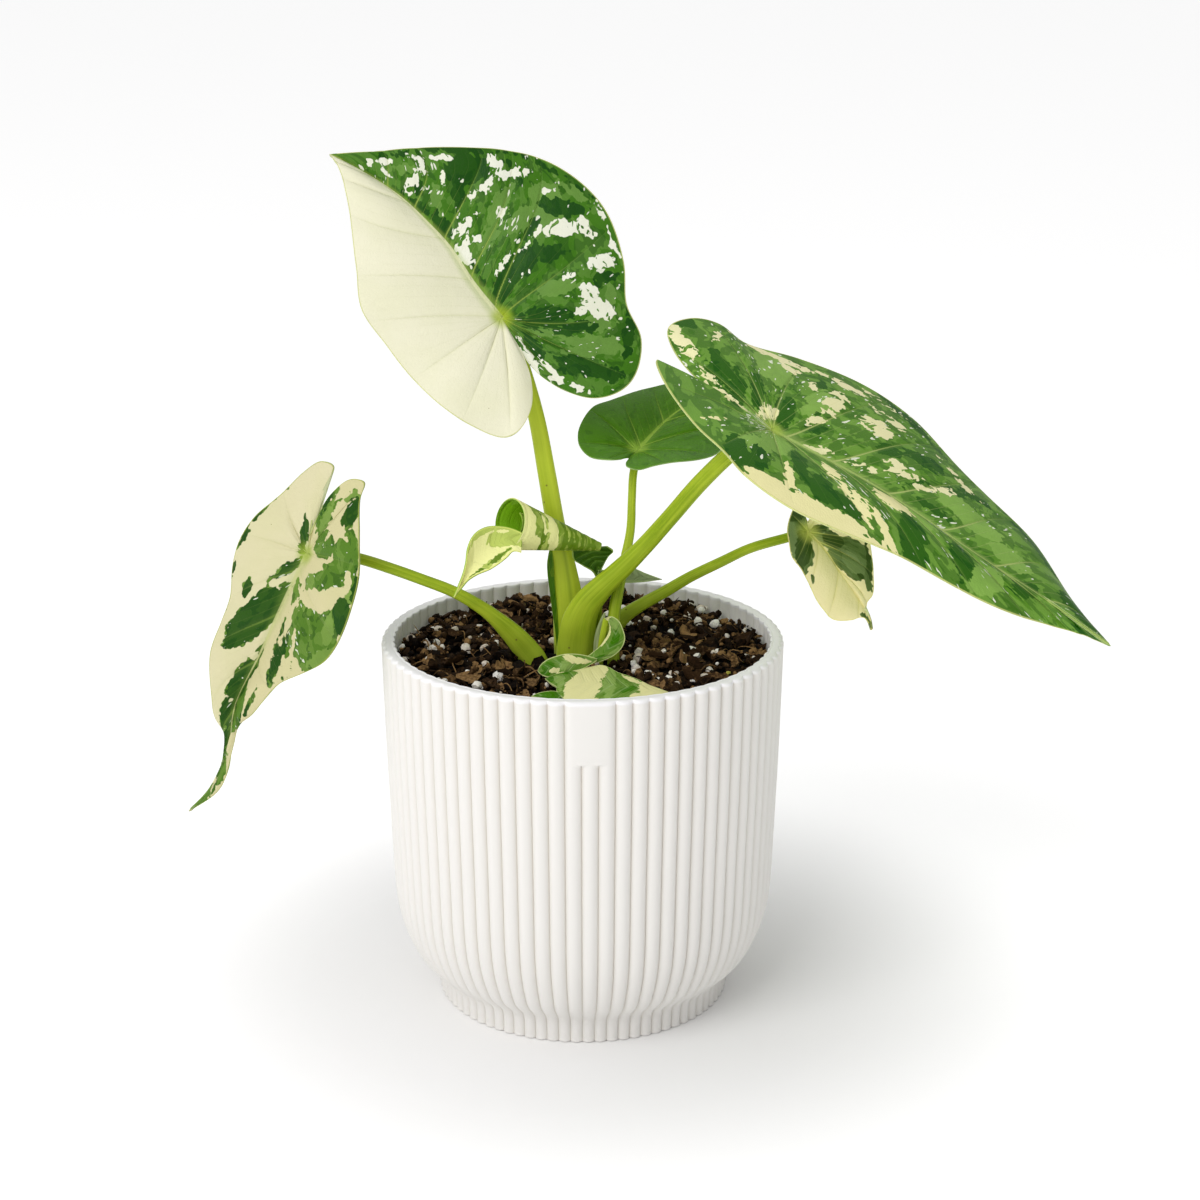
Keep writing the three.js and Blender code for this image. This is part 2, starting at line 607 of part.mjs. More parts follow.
// Triangles of a grid of points; the diagonals all run the same way
function gridTriples(grid, points, flip) {
  const ids = grid.map((row) => row.map((point) => points.push(point) - 1));
  const triples = [];
  for (let i = 0; i + 1 < ids.length; i += 1) {
    for (let j = 0; j + 1 < ids[i].length; j += 1) {
      const [a, b, c, d] = [ids[i][j], ids[i][j + 1], ids[i + 1][j + 1], ids[i + 1][j]];
      triples.push(...(flip ? [[a, b, c], [a, c, d]] : [[a, c, b], [a, d, c]]));
    }
  }
  return triples;
}

// One half of a blade: the roots run down the midrib until the margin reaches its point number
// lobeFrom, and then stay at the stalk while the margin goes round the lobe to the notch
function halfBlade(leaf, side) {
  const rib = smoothCurve(leaf.rib);
  const margin = smoothCurve(leaf[side]);
  const segments = leaf[side].length - 1;
  const lobeFrom = leaf.lobeFrom[side];
  const face = vector(leaf.face).normalize();
  const total = RIB_STEPS + segments - lobeFrom;
  const roots = [];
  const margins = [];
  for (let step = 0; step <= total; step += 1) {
    const onRib = Math.min(step / RIB_STEPS, 1);
    const along = (lobeFrom * onRib + Math.max(0, step - RIB_STEPS)) / segments;
    const ripple = Math.sin(2 * Math.PI * leaf.wave.count * along) * Math.sin(Math.PI * along);
    roots.push(rib.getPointAt(onRib));
    margins.push(margin.getPoint(along).addScaledVector(face, leaf.wave.height * ripple));
  }
  const bow = (step, fraction) => {
    const swell = Math.sin(Math.PI * Math.min(1, step / total)) * Math.sin(Math.PI * fraction);
    return face.clone().multiplyScalar(leaf.arch * swell);
  };
  return sheetColumns(roots, margins, BLADE_COLUMNS, bow);
}

function bladeSheet(leaf) {
  const points = [];
  const right = gridTriples(halfBlade(leaf, 'right'), points, false);
  const left = gridTriples(halfBlade(leaf, 'left'), points, true);
  return indexedGeometry(points, [...right, ...left]);
}

// Sheet between two edges that run side by side
function stripSheet(edge, otherEdge, steps, columns, lift = [0, 0, 0]) {
  const [first, second] = [smoothCurve(edge), smoothCurve(otherEdge)];
  const places = Array.from({ length: steps + 1 }, (_, i) => i / steps);
  const bow = (step, fraction) => {
    const swell = Math.sin(Math.PI * fraction) * Math.sin(Math.PI * places[step]);
    return vector(lift).multiplyScalar(swell);
  };
  const firstPoints = places.map((place) => first.getPoint(place));
  const secondPoints = places.map((place) => second.getPoint(place));
  const points = [];
  const grid = sheetColumns(firstPoints, secondPoints, columns, bow);
  return indexedGeometry(points, gridTriples(grid, points, false));
}

// The rolled cone: the sheet winds inwards, and its back reaches further than its front
function rollSheet(roll) {
  const [from, to] = [vector(roll.from), vector(roll.to)];
  const axis = to.clone().sub(from).normalize();
  const up = new THREE.Vector3(0, 0, 1).addScaledVector(axis, -axis.z).normalize();
  const front = axis.clone().cross(up);
  if (front.y > 0) front.negate();
  const grid = [];
  for (let i = 0; i <= ROLL_LENGTH_STEPS; i += 1) {
    grid.push(Array.from({ length: ROLL_TURN_STEPS + 1 }, (_, j) => {
      const wound = j / ROLL_TURN_STEPS;
      const angle = THREE.MathUtils.degToRad(roll.start + roll.turn * wound);
      const reach = 1 + roll.backReach * (0.5 - 0.5 * Math.cos(angle)) * (wound > 0.1 ? 1 : 0);
      const along = (i / ROLL_LENGTH_STEPS) * reach;
      const radius = roll.radiusFrom + (roll.radiusTo - roll.radiusFrom) * along;
      const wind = radius * (1 - roll.tighten * wound);
      return from.clone().lerp(to, along)
        .addScaledVector(front, wind * Math.cos(angle))
        .addScaledVector(up, wind * Math.sin(angle));
    }));
  }
  const points = [];
  return indexedGeometry(points, gridTriples(grid, points, false));
}

// Closed solid of a sheet: both faces are split into the same triangles, with a rim between
function thicken(sheet, thickness) {
  const geometry = sheet.clone();
  geometry.computeVertexNormals();
  const { position, normal } = geometry.attributes;
  const count = position.count;
  const points = [];
  for (const sign of [1, -1]) {
    for (let i = 0; i < count; i += 1) {
      const point = new THREE.Vector3().fromBufferAttribute(position, i);
      const outward = new THREE.Vector3().fromBufferAttribute(normal, i);
      points.push(point.addScaledVector(outward, (sign * thickness) / 2));
    }
  }
  const triples = [];
  const edges = new Map();
  for (let i = 0; i < geometry.index.count; i += 3) {
    const [a, b, c] = [0, 1, 2].map((k) => geometry.index.getX(i + k));
    triples.push([a, b, c], [count + c, count + b, count + a]);
    for (const [from, to] of [[a, b], [b, c], [c, a]]) edges.set(`${from}_${to}`, [from, to]);
  }
  for (const [from, to] of edges.values()) {
    if (!edges.has(`${to}_${from}`)) {
      triples.push([from, count + from, to], [to, count + from, count + to]);
    }
  }
  const closed = new THREE.BufferGeometry();
  const numbers = points.flatMap((point) => [point.x, point.y, point.z]);
  closed.setAttribute('position', new THREE.Float32BufferAttribute(numbers, 3));
  closed.setIndex(triples.flat());
  return closed;
}

function fused(geometries) {
  return geometries.map(solidOf).reduce((whole, part) => whole.add(part));
}

// A stalk ends just under its blade: the blade with its clearance is cut out of the stalk
function stalkUnder(rows, sheets) {
  const steps = [0, 1, 2].map((step) => BLADE_THICKNESS + step * CLEARANCE);
  const room = fused(sheets.flatMap((sheet) => steps.map((thick) => thicken(sheet, thick))));
  return geometryOf(largestPiece(solidOf(stalkGeometry(rows)).subtract(room)));
}

const plant = new THREE.Group();

function addPiece(name, geometry, material) {
  const mesh = new THREE.Mesh(geometry, material);
  mesh.name = name;
  plant.add(mesh);
}

function addLeaf(name, leaf, stalk, bladeMaterial) {
  const sheet = bladeSheet(leaf);
  addPiece(`${name}_blade`, thicken(sheet, BLADE_THICKNESS), bladeMaterial);
  addPiece(`${name}_stalk`, stalkUnder(stalk, [sheet]), materials.stalk);
}

function addRolledLeaf() {
  const sheets = [
    rollSheet(ROLL),
    stripSheet(ROLL_TIP_UPPER, ROLL_TIP_LOWER, 10, 4, [0.5, 1.6, -1]),
    stripSheet(ROLL_BASE_LEFT, ROLL_BASE_RIGHT, 5, 3, [0, 1, 0]),
    stripSheet(ROLL_LOBE_LOWER, ROLL_LOBE_UPPER, 5, 2, [0, -0.5, 0.5]),
  ];
  const blade = fused(sheets.map((sheet) => thicken(sheet, BLADE_THICKNESS)));
  addPiece('rolled_leaf_blade', geometryOf(largestPiece(blade)), materials.rolledBlade);
  addPiece('rolled_leaf_stalk', stalkUnder(ROLL_STALK, sheets), materials.stalk);
}

function addLowLeaf() {
  const sheets = [
    stripSheet(LOW_RIBBON_OUTER, LOW_RIBBON_INNER, 16, 3, [0, -1, 0.6]),
    stripSheet(LOW_BLADE_FRONT, LOW_BLADE_BACK, 16, 4, [0, 0, 1.2]),
  ];
  const blade = fused(sheets.map((sheet) => thicken(sheet, BLADE_THICKNESS)));
  addPiece('low_leaf_blade', geometryOf(largestPiece(blade)), materials.lowBlade);
  addPiece('low_leaf_stalk', stalkUnder(LOW_STALK, sheets), materials.stalk);
}

addPiece('pot', potGeometry(), materials.pot);
addPiece('soil', soilGeometry([
  TALL_STALK, BROAD_STALK, BACK_STALK, SIDE_STALK, HANGING_STALK, ROLL_STALK, LOW_STALK, SHEATH,
]), materials.soil);
addLeaf('tall_leaf', TALL_LEAF, TALL_STALK, materials.tallBlade);
addLeaf('broad_leaf', BROAD_LEAF, BROAD_STALK, materials.broadBlade);
addLeaf('back_leaf', BACK_LEAF, BACK_STALK, materials.backBlade);
addLeaf('side_leaf', SIDE_LEAF, SIDE_STALK, materials.sideBlade);
addLeaf('hanging_leaf', HANGING_LEAF, HANGING_STALK, materials.hangingBlade);
addRolledLeaf();
addLowLeaf();
addPiece('sheath', stalkGeometry(SHEATH), materials.sheath);

export default plant;
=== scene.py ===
"""Potted alocasia gageana: variegated leaves on stalks in bark soil, in a ribbed round pot.

Sizes are in millimetres in the data below and are turned into metres when a mesh is made. The
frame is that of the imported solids: the origin is the centre of the pot's underside, -Y is the
front and +Z is up.
"""

import logging
import math
import random
from collections.abc import Callable
from dataclasses import dataclass, field
from enum import Enum

import bpy
import numpy as np
from mathutils import Matrix, Vector


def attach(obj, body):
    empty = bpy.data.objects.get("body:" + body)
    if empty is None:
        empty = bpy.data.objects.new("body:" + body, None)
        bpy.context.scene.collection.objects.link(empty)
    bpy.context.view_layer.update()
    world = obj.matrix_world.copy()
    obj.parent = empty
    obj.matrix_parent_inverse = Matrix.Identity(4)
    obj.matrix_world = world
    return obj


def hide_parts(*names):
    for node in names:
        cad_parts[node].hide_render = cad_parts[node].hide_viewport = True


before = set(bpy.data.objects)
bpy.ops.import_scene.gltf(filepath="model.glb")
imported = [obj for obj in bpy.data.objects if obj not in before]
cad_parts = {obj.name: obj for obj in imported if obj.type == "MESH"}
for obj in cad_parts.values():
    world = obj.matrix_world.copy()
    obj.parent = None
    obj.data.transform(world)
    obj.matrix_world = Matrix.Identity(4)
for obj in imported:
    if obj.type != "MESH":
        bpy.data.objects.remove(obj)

MM = 0.001
LEAF_THICKNESS = 0.6
LOG = logging.getLogger("potted_alocasia")

Point = tuple[float, float, float]
Pair = tuple[float, float]
Colour = tuple[float, float, float, float]


class Tone(Enum):
    """Kinds of marking on a leaf."""

    CREAM = "cream"
    DARK = "dark"
    PALE = "pale"
    GREEN = "green"


TONE_NAMES = {tone.value for tone in Tone}


@dataclass(frozen=True)
class Blotch:
    """An oval marking, placed in the leaf's own plane.

    Attributes:
        tone: the colour it brings.
        along: its centre from the stalk towards the tip, in mm.
        across: its centre from the midrib towards the leaf's right half, in mm.
        length: half its length, in mm.
        width: half its width, in mm.
        turn: angle of its length from the midrib towards the right half, in degrees.
    """

    tone: Tone
    along: float
    across: float
    length: float
    width: float
    turn: float

    def depth(self, along: np.ndarray, across: np.ndarray) -> np.ndarray:
        """How deep places lie inside the oval's edge; outside it the depth is negative."""
        turn = math.radians(self.turn)
        da, dc = along - self.along, across - self.across
        lengthwise = (da * math.cos(turn) + dc * math.sin(turn)) / self.length
        sideways = (dc * math.cos(turn) - da * math.sin(turn)) / self.width
        return min(self.length, self.width) * (1 - np.hypot(lengthwise, sideways))


def colour(code: str) -> Colour:
    """Turns a hex colour into linear light.

    Args:
        code: six hex digits.

    Returns:
        Red, green, blue and alpha.
    """
    values = [int(code[i:i + 2], 16) / 255 for i in (0, 2, 4)]
    linear = [v / 12.92 if v <= 0.04045 else ((v + 0.055) / 1.055) ** 2.4 for v in values]
    return (linear[0], linear[1], linear[2], 1.0)


class SmoothCurve:
    """A centripetal curve through points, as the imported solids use."""

    def __init__(self, points: list[Point]) -> None:
        """Keeps the points and measures the curve.

        Args:
            points: the points that the curve runs through.
        """
        self.points = np.array(points, float)
        places = np.linspace(0, 1, 401)
        gaps = np.linalg.norm(np.diff(self.at(places), axis=0), axis=1)
        self.lengths = np.concatenate([[0.0], np.cumsum(gaps)])
        self.places = places

    def at(self, places: np.ndarray) -> np.ndarray:
        """Points of the curve.

        Args:
            places: values from 0 to 1, with each control point an equal step on.

        Returns:
            One row for each place.
        """
        points = self.points
        last = len(points) - 1
        position = np.asarray(places, float) * last
        index = np.clip(np.floor(position).astype(int), 0, last - 1)
        part = (position - index)[:, None]
        padded = np.vstack([2 * points[0] - points[1], points, 2 * points[-1] - points[-2]])
        p0, p1, p2, p3 = (padded[index + k] for k in range(4))
        d0, d1, d2 = (
            np.maximum(np.sqrt(np.linalg.norm(b - a, axis=1)), 1e-4)[:, None]
            for a, b in ((p0, p1), (p1, p2), (p2, p3))
        )
        t1 = ((p1 - p0) / d0 - (p2 - p0) / (d0 + d1) + (p2 - p1) / d1) * d1
        t2 = ((p2 - p1) / d1 - (p3 - p1) / (d1 + d2) + (p3 - p2) / d2) * d1
        square = (-3 * p1 + 3 * p2 - 2 * t1 - t2) * part ** 2
        cube = (2 * p1 - 2 * p2 + t1 + t2) * part ** 3
        return p1 + t1 * part + square + cube

    def at_length(self, fractions: np.ndarray) -> np.ndarray:
        """Points at fractions of the curve's length.

        Args:
            fractions: values from 0 to 1.

        Returns:
            One row for each fraction.
        """
        return self.at(np.interp(np.asarray(fractions) * self.lengths[-1], self.lengths, self.places))

    def tangent(self, places: np.ndarray) -> np.ndarray:
        """Unit directions of the curve at places from 0 to 1."""
        step = 1e-3
        low = np.clip(np.asarray(places) - step, 0, 1)
        high = np.clip(np.asarray(places) + step, 0, 1)
        return unit(self.at(high) - self.at(low))


def unit(vectors: np.ndarray) -> np.ndarray:
    """Vectors of length one in the same directions."""
    return vectors / np.maximum(np.linalg.norm(vectors, axis=-1, keepdims=True), 1e-12)


class Graph:
    """Shader nodes of one material, added and linked by short calls."""

    def __init__(self, name: str) -> None:
        """Makes an empty material with an output.

        Args:
            name: the material's name.
        """
        self.material = bpy.data.materials.new(name)
        self.material.use_nodes = True
        self.tree = self.material.node_tree
        self.tree.nodes.clear()
        self.output = self.tree.nodes.new("ShaderNodeOutputMaterial")

    def add(self, kind: str, inputs: dict | None = None, **settings: object) -> bpy.types.Node:
        """Adds a node.

        Args:
            kind: the node's type without its ShaderNode prefix.
            inputs: values or sockets for its inputs, by name or number.
            settings: the node's own properties.

        Returns:
            The node.
        """
        node = self.tree.nodes.new("ShaderNode" + kind)
        for key, value in settings.items():
            setattr(node, key, value)
        for key, value in (inputs or {}).items():
            if isinstance(value, bpy.types.NodeSocket):
                self.tree.links.new(value, node.inputs[key])
            else:
                node.inputs[key].default_value = value
        return node

    def math(self, operation: str, first: object, second: object = 0.0, clamp: bool = False) -> object:
        """Adds a Math node and returns its result."""
        node = self.add("Math", {0: first, 1: second}, operation=operation, use_clamp=clamp)
        return node.outputs[0]

    def total(self, *parts: object) -> object:
        """Sum of several values."""
        result = parts[0]
        for part in parts[1:]:
            result = self.math("ADD", result, part)
        return result

    def step(self, value: object, low: float, high: float) -> object:
        """Smooth step from 0 at low to 1 at high."""
        node = self.add(
            "MapRange", {0: value, 1: low, 2: high, 3: 0.0, 4: 1.0}, interpolation_type="SMOOTHSTEP",
        )
        return node.outputs[0]

    def scaled(self, value: object, factor: float, offset: float = 0.0) -> object:
        """A value times a factor, plus an offset."""
        node = self.add("Math", {0: value, 1: factor, 2: offset}, operation="MULTIPLY_ADD")
        return node.outputs[0]

    def mix(self, factor: object, first: object, second: object) -> object:
        """Mixes two colours and returns the result."""
        node = self.add("Mix", {0: factor, 6: first, 7: second}, data_type="RGBA")
        return node.outputs[2]

    def noise(self, vector: object, scale: float, detail: float = 2.0, **inputs: float) -> object:
        """Noise from 0 to 1 at a scale."""
        values = {"Vector": vector, "Scale": scale, "Detail": detail}
        values.update({key.capitalize(): value for key, value in inputs.items()})
        return self.add("TexNoise", values, noise_dimensions="3D").outputs[0]

    def value(self, name: str) -> object:
        """A number kept on the mesh's points."""
        return self.add("Attribute", attribute_name=name).outputs["Fac"]

    def places(self) -> object:
        """Object coordinates in millimetres."""
        source = self.add("TexCoord").outputs["Object"]
        factor = 1 / MM
        scaled = self.add("VectorMath", {0: source, 1: (factor,) * 3}, operation="MULTIPLY")
        return scaled.outputs[0]

    def bump(self, height: object, distance: float, strength: float = 1.0) -> object:
        """Bump normal of a height that is in units of distance, in mm."""
        inputs = {"Height": height, "Distance": distance * MM, "Strength": strength}
        return self.add("Bump", inputs).outputs[0]

    def surface(self, **inputs: object) -> bpy.types.Material:
        """Ends the material with a Principled shader.

        Args:
            inputs: values or sockets of the shader, with _ for each space.

        Returns:
            The material.
        """
        named = {key.replace("_", " "): value for key, value in inputs.items()}
        shader = self.add("BsdfPrincipled", named)
        self.tree.links.new(shader.outputs[0], self.output.inputs[0])
        return self.material


def deselect_all() -> None:
    """Leaves object mode with nothing selected."""
    if bpy.context.object and bpy.context.object.mode != "OBJECT":
        bpy.ops.object.mode_set(mode="OBJECT")
    bpy.ops.object.select_all(action="DESELECT")


def activate(*pieces: bpy.types.Object) -> None:
    """Selects some objects and makes the first the active one."""
    deselect_all()
    for piece in pieces:
        piece.select_set(True)
    bpy.context.view_layer.objects.active = pieces[0]


def apply_modifier(piece: bpy.types.Object, kind: str, **settings: object) -> None:
    """Adds a modifier to an object and applies it.

    Args:
        piece: the object.
        kind: the modifier's type.
        settings: the modifier's properties.
    """
    activate(piece)
    bpy.ops.object.modifier_add(type=kind)
    modifier = piece.modifiers[-1]
    for key, value in settings.items():
        setattr(modifier, key, value)
    bpy.ops.object.modifier_apply(modifier=modifier.name)


def edited(piece: bpy.types.Object, operator: Callable, **settings: object) -> None:
    """Runs an operator on all of an object's vertices in edit mode."""
    activate(piece)
    bpy.ops.object.mode_set(mode="EDIT")
    bpy.ops.mesh.select_all(action="SELECT")
    operator(**settings)
    bpy.ops.object.mode_set(mode="OBJECT")


def weld(piece: bpy.types.Object, distance: float = 1e-3) -> None:
    """Merges an object's vertices that lie within a distance in mm."""
    edited(piece, bpy.ops.mesh.remove_doubles, threshold=distance * MM)


def outward(piece: bpy.types.Object) -> None:
    """Turns the faces of an object's closed shells outwards."""
    edited(piece, bpy.ops.mesh.normals_make_consistent, inside=False)


def smooth(piece: bpy.types.Object, angle: float = 50.0) -> None:
    """Shades an object smooth, with edges sharper than an angle in degrees kept."""
    activate(piece)
    bpy.ops.object.shade_smooth_by_angle(angle=math.radians(angle))


def joined(name: str, pieces: list[bpy.types.Object]) -> bpy.types.Object:
    """Joins objects into one.

    Args:
        name: the new object's name.
        pieces: the objects.

    Returns:
        The joined object.
    """
    activate(*pieces)
    if len(pieces) > 1:
        bpy.ops.object.join()
    whole = pieces[0]
    whole.name = name
    whole.data.name = name
    return whole


def shaped_grid(name: str, points: np.ndarray, numbers: dict[str, np.ndarray] | None = None,
                chart: np.ndarray | None = None) -> bpy.types.Object:
    """Adds a grid and moves its vertices to a formula's points.

    Args:
        name: the object's name.
        points: rows by columns by 3, in mm.
        numbers: values for each point, by attribute name; the tones are kept on the face corners,
            so that the two halves of a leaf meet in a sharp line.
        chart: rows by columns by 2, kept as the UV map named leaf.

    Returns:
        The object.
    """
    rows, columns = points.shape[0] - 1, points.shape[1] - 1
    deselect_all()
    bpy.ops.mesh.primitive_grid_add(x_subdivisions=columns, y_subdivisions=rows, size=1)
    piece = bpy.context.object
    piece.name = name
    piece.data.name = name
    mesh = piece.data
    mesh.vertices.foreach_set("co", (points.reshape(-1, 3) * MM).ravel())
    corners = np.zeros(len(mesh.loops), int)
    mesh.loops.foreach_get("vertex_index", corners)
    for key, values in (numbers or {}).items():
        at_corner = key in TONE_NAMES
        flat = np.array(values, float).ravel()
        attribute = mesh.attributes.new(key, "FLOAT", "CORNER" if at_corner else "POINT")
        attribute.data.foreach_set("value", flat[corners] if at_corner else flat)
    while mesh.uv_layers:
        mesh.uv_layers.remove(mesh.uv_layers[0])
    if chart is not None:
        layer = mesh.uv_layers.new(name="leaf")
        layer.data.foreach_set("uv", chart.reshape(-1, 2)[corners].ravel())
    mesh.update()
    return piece


def carried(piece: bpy.types.Object, slot: str, *nodes: str) -> None:
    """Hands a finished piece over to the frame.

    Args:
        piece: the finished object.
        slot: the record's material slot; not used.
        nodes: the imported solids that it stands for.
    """
    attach(piece, "root")
    if nodes:
        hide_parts(*nodes)
    triangles = sum(len(face.vertices) - 2 for face in piece.data.polygons)
    LOG.info("%s: %d triangles", piece.name, triangles)


def markings(cream: list = (), dark: list = (), pale: list = (), green: list = ()) -> list[Blotch]:
    """Makes blotches from rows of along, across, half length, half width and turn."""
    rows = {Tone.CREAM: cream, Tone.DARK: dark, Tone.PALE: pale, Tone.GREEN: green}
    return [Blotch(tone, *row) for tone, group in rows.items() for row in group]


def tone_depths(blotches: list[Blotch], along: np.ndarray, across: np.ndarray,
                scale: float = 1.0) -> dict[Tone, np.ndarray]:
    """How deep places lie in each tone's blotches.

    Args:
        blotches: the markings.
        along, across: the places, in the markings' own units.
        scale: millimetres for one such unit.

    Returns:
        The greatest depth in mm for each tone, and far outside where it has no blotch.
    """
    depths = {tone: np.full(along.shape, -9.0) for tone in Tone}
    for blotch in blotches:
        depths[blotch.tone] = np.maximum(depths[blotch.tone], scale * blotch.depth(along, across))
    return depths


@dataclass(frozen=True)
class LeafFinish:
    """Colours and marbling of a leaf blade.

    Attributes:
        name: the material's name.
        mid, dark, pale, cream: hex colours of the markings, as they look under the studio's light.
        vein, far_vein: hex colours of the veins on green, at the midrib and at the margin.
        cream_vein: hex colour of the veins on cream.
        hub: hex colour of the spot where the veins meet.
        margin: hex colour of the thin edge line.
        seed: start of the random marbling.
        wide, fine: how far the markings' edges wander, in mm.
        mottle: share of the smaller patches between the placed ones.
        flecks: share of the small pale streaks.
        islands: share of the random green patches on the right half's cream.
        specks: share of the tiny brown dots on cream.
        roughness: roughness of the upper side.
        vein_strength: how plainly the veins show.
        vein_width: half width of a main vein at the midrib, in mm.
        glow: strength of the light band beside the midrib.
        light: how brightly the studio lights this leaf.
        sheen: white light that the surface mirrors, taken off each colour.
        mirror: strength of those reflections.
        splash: hex colour of the right half's cream markings, or nothing for that of the left's.
        rib: hex colour of the midrib, or nothing for that of the veins on cream.
        under_tint: hex colour that the underside leans to.
        under_share: how far it leans.
    """

    name: str
    mid: str
    dark: str
    pale: str
    cream: str
    vein: str
    far_vein: str
    cream_vein: str
    hub: str
    margin: str
    seed: float
    wide: float = 0.7
    fine: float = 0.35
    mottle: float = 0.5
    flecks: float = 0.5
    islands: float = 0.0
    specks: float = 0.08
    roughness: float = 0.38
    vein_strength: float = 0.75
    vein_width: float = 0.5
    glow: float = 0.6
    light: float = 0.9
    sheen: float = 0.009
    mirror: float = 0.14
    splash: str = ""
    rib: str = ""
    under_tint: str = "b9c79a"
    under_share: float = 0.6

    def paint(self, code: str) -> Colour:
        """Colour of the surface that looks like a hex colour under the studio's light."""
        red, green, blue, alpha = colour(code)
        return tuple(max(0.002, (value - self.sheen) / self.light) for value in (red, green, blue)) + (alpha,)

    def marking(self, graph: Graph, tone: Tone, place: tuple[object, object], number: int) -> object:
        """Mask of one tone: its field on the mesh plus a wandering edge.

        Args:
            graph: the material's nodes.
            tone: the marking.
            place: coordinates that follow the veins, and plain coordinates.
            number: shifts the noise, so that no two tones wander alike.

        Returns:
            A mask from 0 to 1.
        """
        along_veins = self.shifted(graph, place[0], number)
        plain = self.shifted(graph, place[1], number)
        wide = graph.scaled(graph.noise(along_veins, 1.0, 1.5, distortion=0.5), 4 * self.wide, -2 * self.wide)
        finger = graph.scaled(graph.noise(along_veins, 2.7, 1.0), 2.4 * self.wide, -1.2 * self.wide)
        fine = graph.scaled(graph.noise(plain, 0.5, 1.0), 4 * self.fine, -2 * self.fine)
        return graph.step(graph.total(graph.value(tone.value), wide, finger, fine), -0.11, 0.11)

    def shifted(self, graph: Graph, place: object, number: int) -> object:
        """Coordinates moved by the seed and a number."""
        shift = (self.seed + 7.3 * number, 3.1 * number, 5.7 * number)
        return graph.add("VectorMath", {0: place, 1: shift}, operation="ADD").outputs[0]

    def patches(self, graph: Graph, place: object, number: int, scale: float, share: float) -> object:
        """Mask of crisp random patches that cover about a share of the leaf."""
        level = graph.noise(self.shifted(graph, place, number), scale, 2.0, distortion=0.7)
        limit = 0.5 + 0.32 * (0.5 - share)
        return graph.step(level, limit, limit + 0.02)

    def dots(self, graph: Graph, plain: object, scale: float, radius: float, share: float) -> object:
        """Mask of small dots strewn over the leaf.

        Args:
            graph: the material's nodes.
            plain: coordinates in mm.
            scale: cells of the pattern in one mm.
            radius: dot radius as a part of a cell.
            share: share of the cells that have a dot.

        Returns:
            A mask from 0 to 1.
        """
        cells = graph.add("TexVoronoi", {"Vector": plain, "Scale": scale, "Randomness": 0.9})
        inside = graph.step(cells.outputs["Distance"], radius, 0.75 * radius)
        chance = graph.add("SeparateColor", {0: cells.outputs["Color"]}).outputs[0]
        return graph.math("MULTIPLY", inside, graph.math("LESS_THAN", chance, share))

    def streaks(self, graph: Graph, phase: object, reach: object, plain: object) -> object:
        """Mask of fine pale streaks along the veins, in loose groups."""
        thin = graph.add("CombineXYZ", {
            0: graph.scaled(phase, 13.0), 1: graph.scaled(reach, 0.34), 2: self.seed + 40.0,
        }).outputs[0]
        level = graph.noise(thin, 1.0, 1.0, distortion=0.3)
        group = graph.noise(self.shifted(graph, plain, 9), 0.075, 1.0)
        lowered = graph.total(level, graph.scaled(group, 0.55, -0.275), 0.1 * (self.flecks - 0.5))
        return graph.step(lowered, 0.685, 0.70)

    def green(self, graph: Graph, place: tuple[object, object]) -> object:
        """Colour of the green parts: placed dark and pale markings with smaller patches among them."""
        mid, dark, pale = self.paint(self.mid), self.paint(self.dark), self.paint(self.pale)
        lighter = self.patches(graph, place[0], 11, 0.9, self.mottle)
        darker = self.patches(graph, place[0], 13, 1.2, 0.7 * self.mottle)
        tone = graph.mix(graph.scaled(lighter, 0.38), mid, pale)
        tone = graph.mix(graph.scaled(darker, 0.5), tone, dark)
        tone = graph.mix(graph.scaled(self.marking(graph, Tone.PALE, place, 1), 0.85), tone, pale)
        deep = graph.mix(graph.scaled(lighter, 0.16), dark, mid)
        tone = graph.mix(self.marking(graph, Tone.DARK, place, 2), tone, deep)
        soft = graph.step(graph.noise(place[1], 0.11, 3.0), 0.3, 0.7)
        return graph.mix(graph.scaled(soft, 0.16), tone, dark)

    def build(self) -> bpy.types.Material:
        """Makes the material.

        Returns:
            The material, which reads the leaf's UV map and its number attributes.
        """
        graph = Graph(self.name)
        plain = graph.places()
        chart = graph.add("UVMap", uv_map="leaf").outputs[0]
        parts = graph.add("SeparateXYZ", {0: chart})
        phase, reach = parts.outputs[0], parts.outputs[1]
        along_veins = graph.add("CombineXYZ", {
            0: graph.scaled(phase, 3.2), 1: graph.scaled(reach, 0.17), 2: self.seed,
        }).outputs[0]
        edge = graph.value("edge")
        place = (along_veins, plain)
        cream = self.marking(graph, Tone.CREAM, place, 3)
        left = graph.math("GREATER_THAN", phase, 14.0)
        if self.islands:
            island = self.patches(graph, along_veins, 19, 1.5, self.islands)
            island = graph.math("SUBTRACT", island, left, clamp=True)
            cream = graph.math("SUBTRACT", cream, island, clamp=True)
        on_green = graph.math("SUBTRACT", 1.0, cream)
        soft = graph.step(graph.noise(plain, 0.07, 3.0), 0.3, 0.7)
        light = graph.mix(left, self.paint(self.splash or self.cream), self.paint(self.cream))
        light = graph.mix(graph.scaled(soft, 0.2), light, self.paint(self.cream_vein))
        shade = graph.mix(cream, self.green(graph, place), light)
        white = self.paint("eff1e0")
        flecks = graph.math("MULTIPLY", self.streaks(graph, phase, reach, plain), on_green)
        shade = graph.mix(graph.scaled(flecks, 0.85), shade, white)
        dots = graph.math("MULTIPLY", self.dots(graph, plain, 0.4, 0.13, 0.3 * self.flecks), on_green)
        shade = graph.mix(graph.scaled(dots, 0.9), shade, white)
        specks = graph.math("MULTIPLY", self.dots(graph, plain, 0.16, 0.04, self.specks), cream)
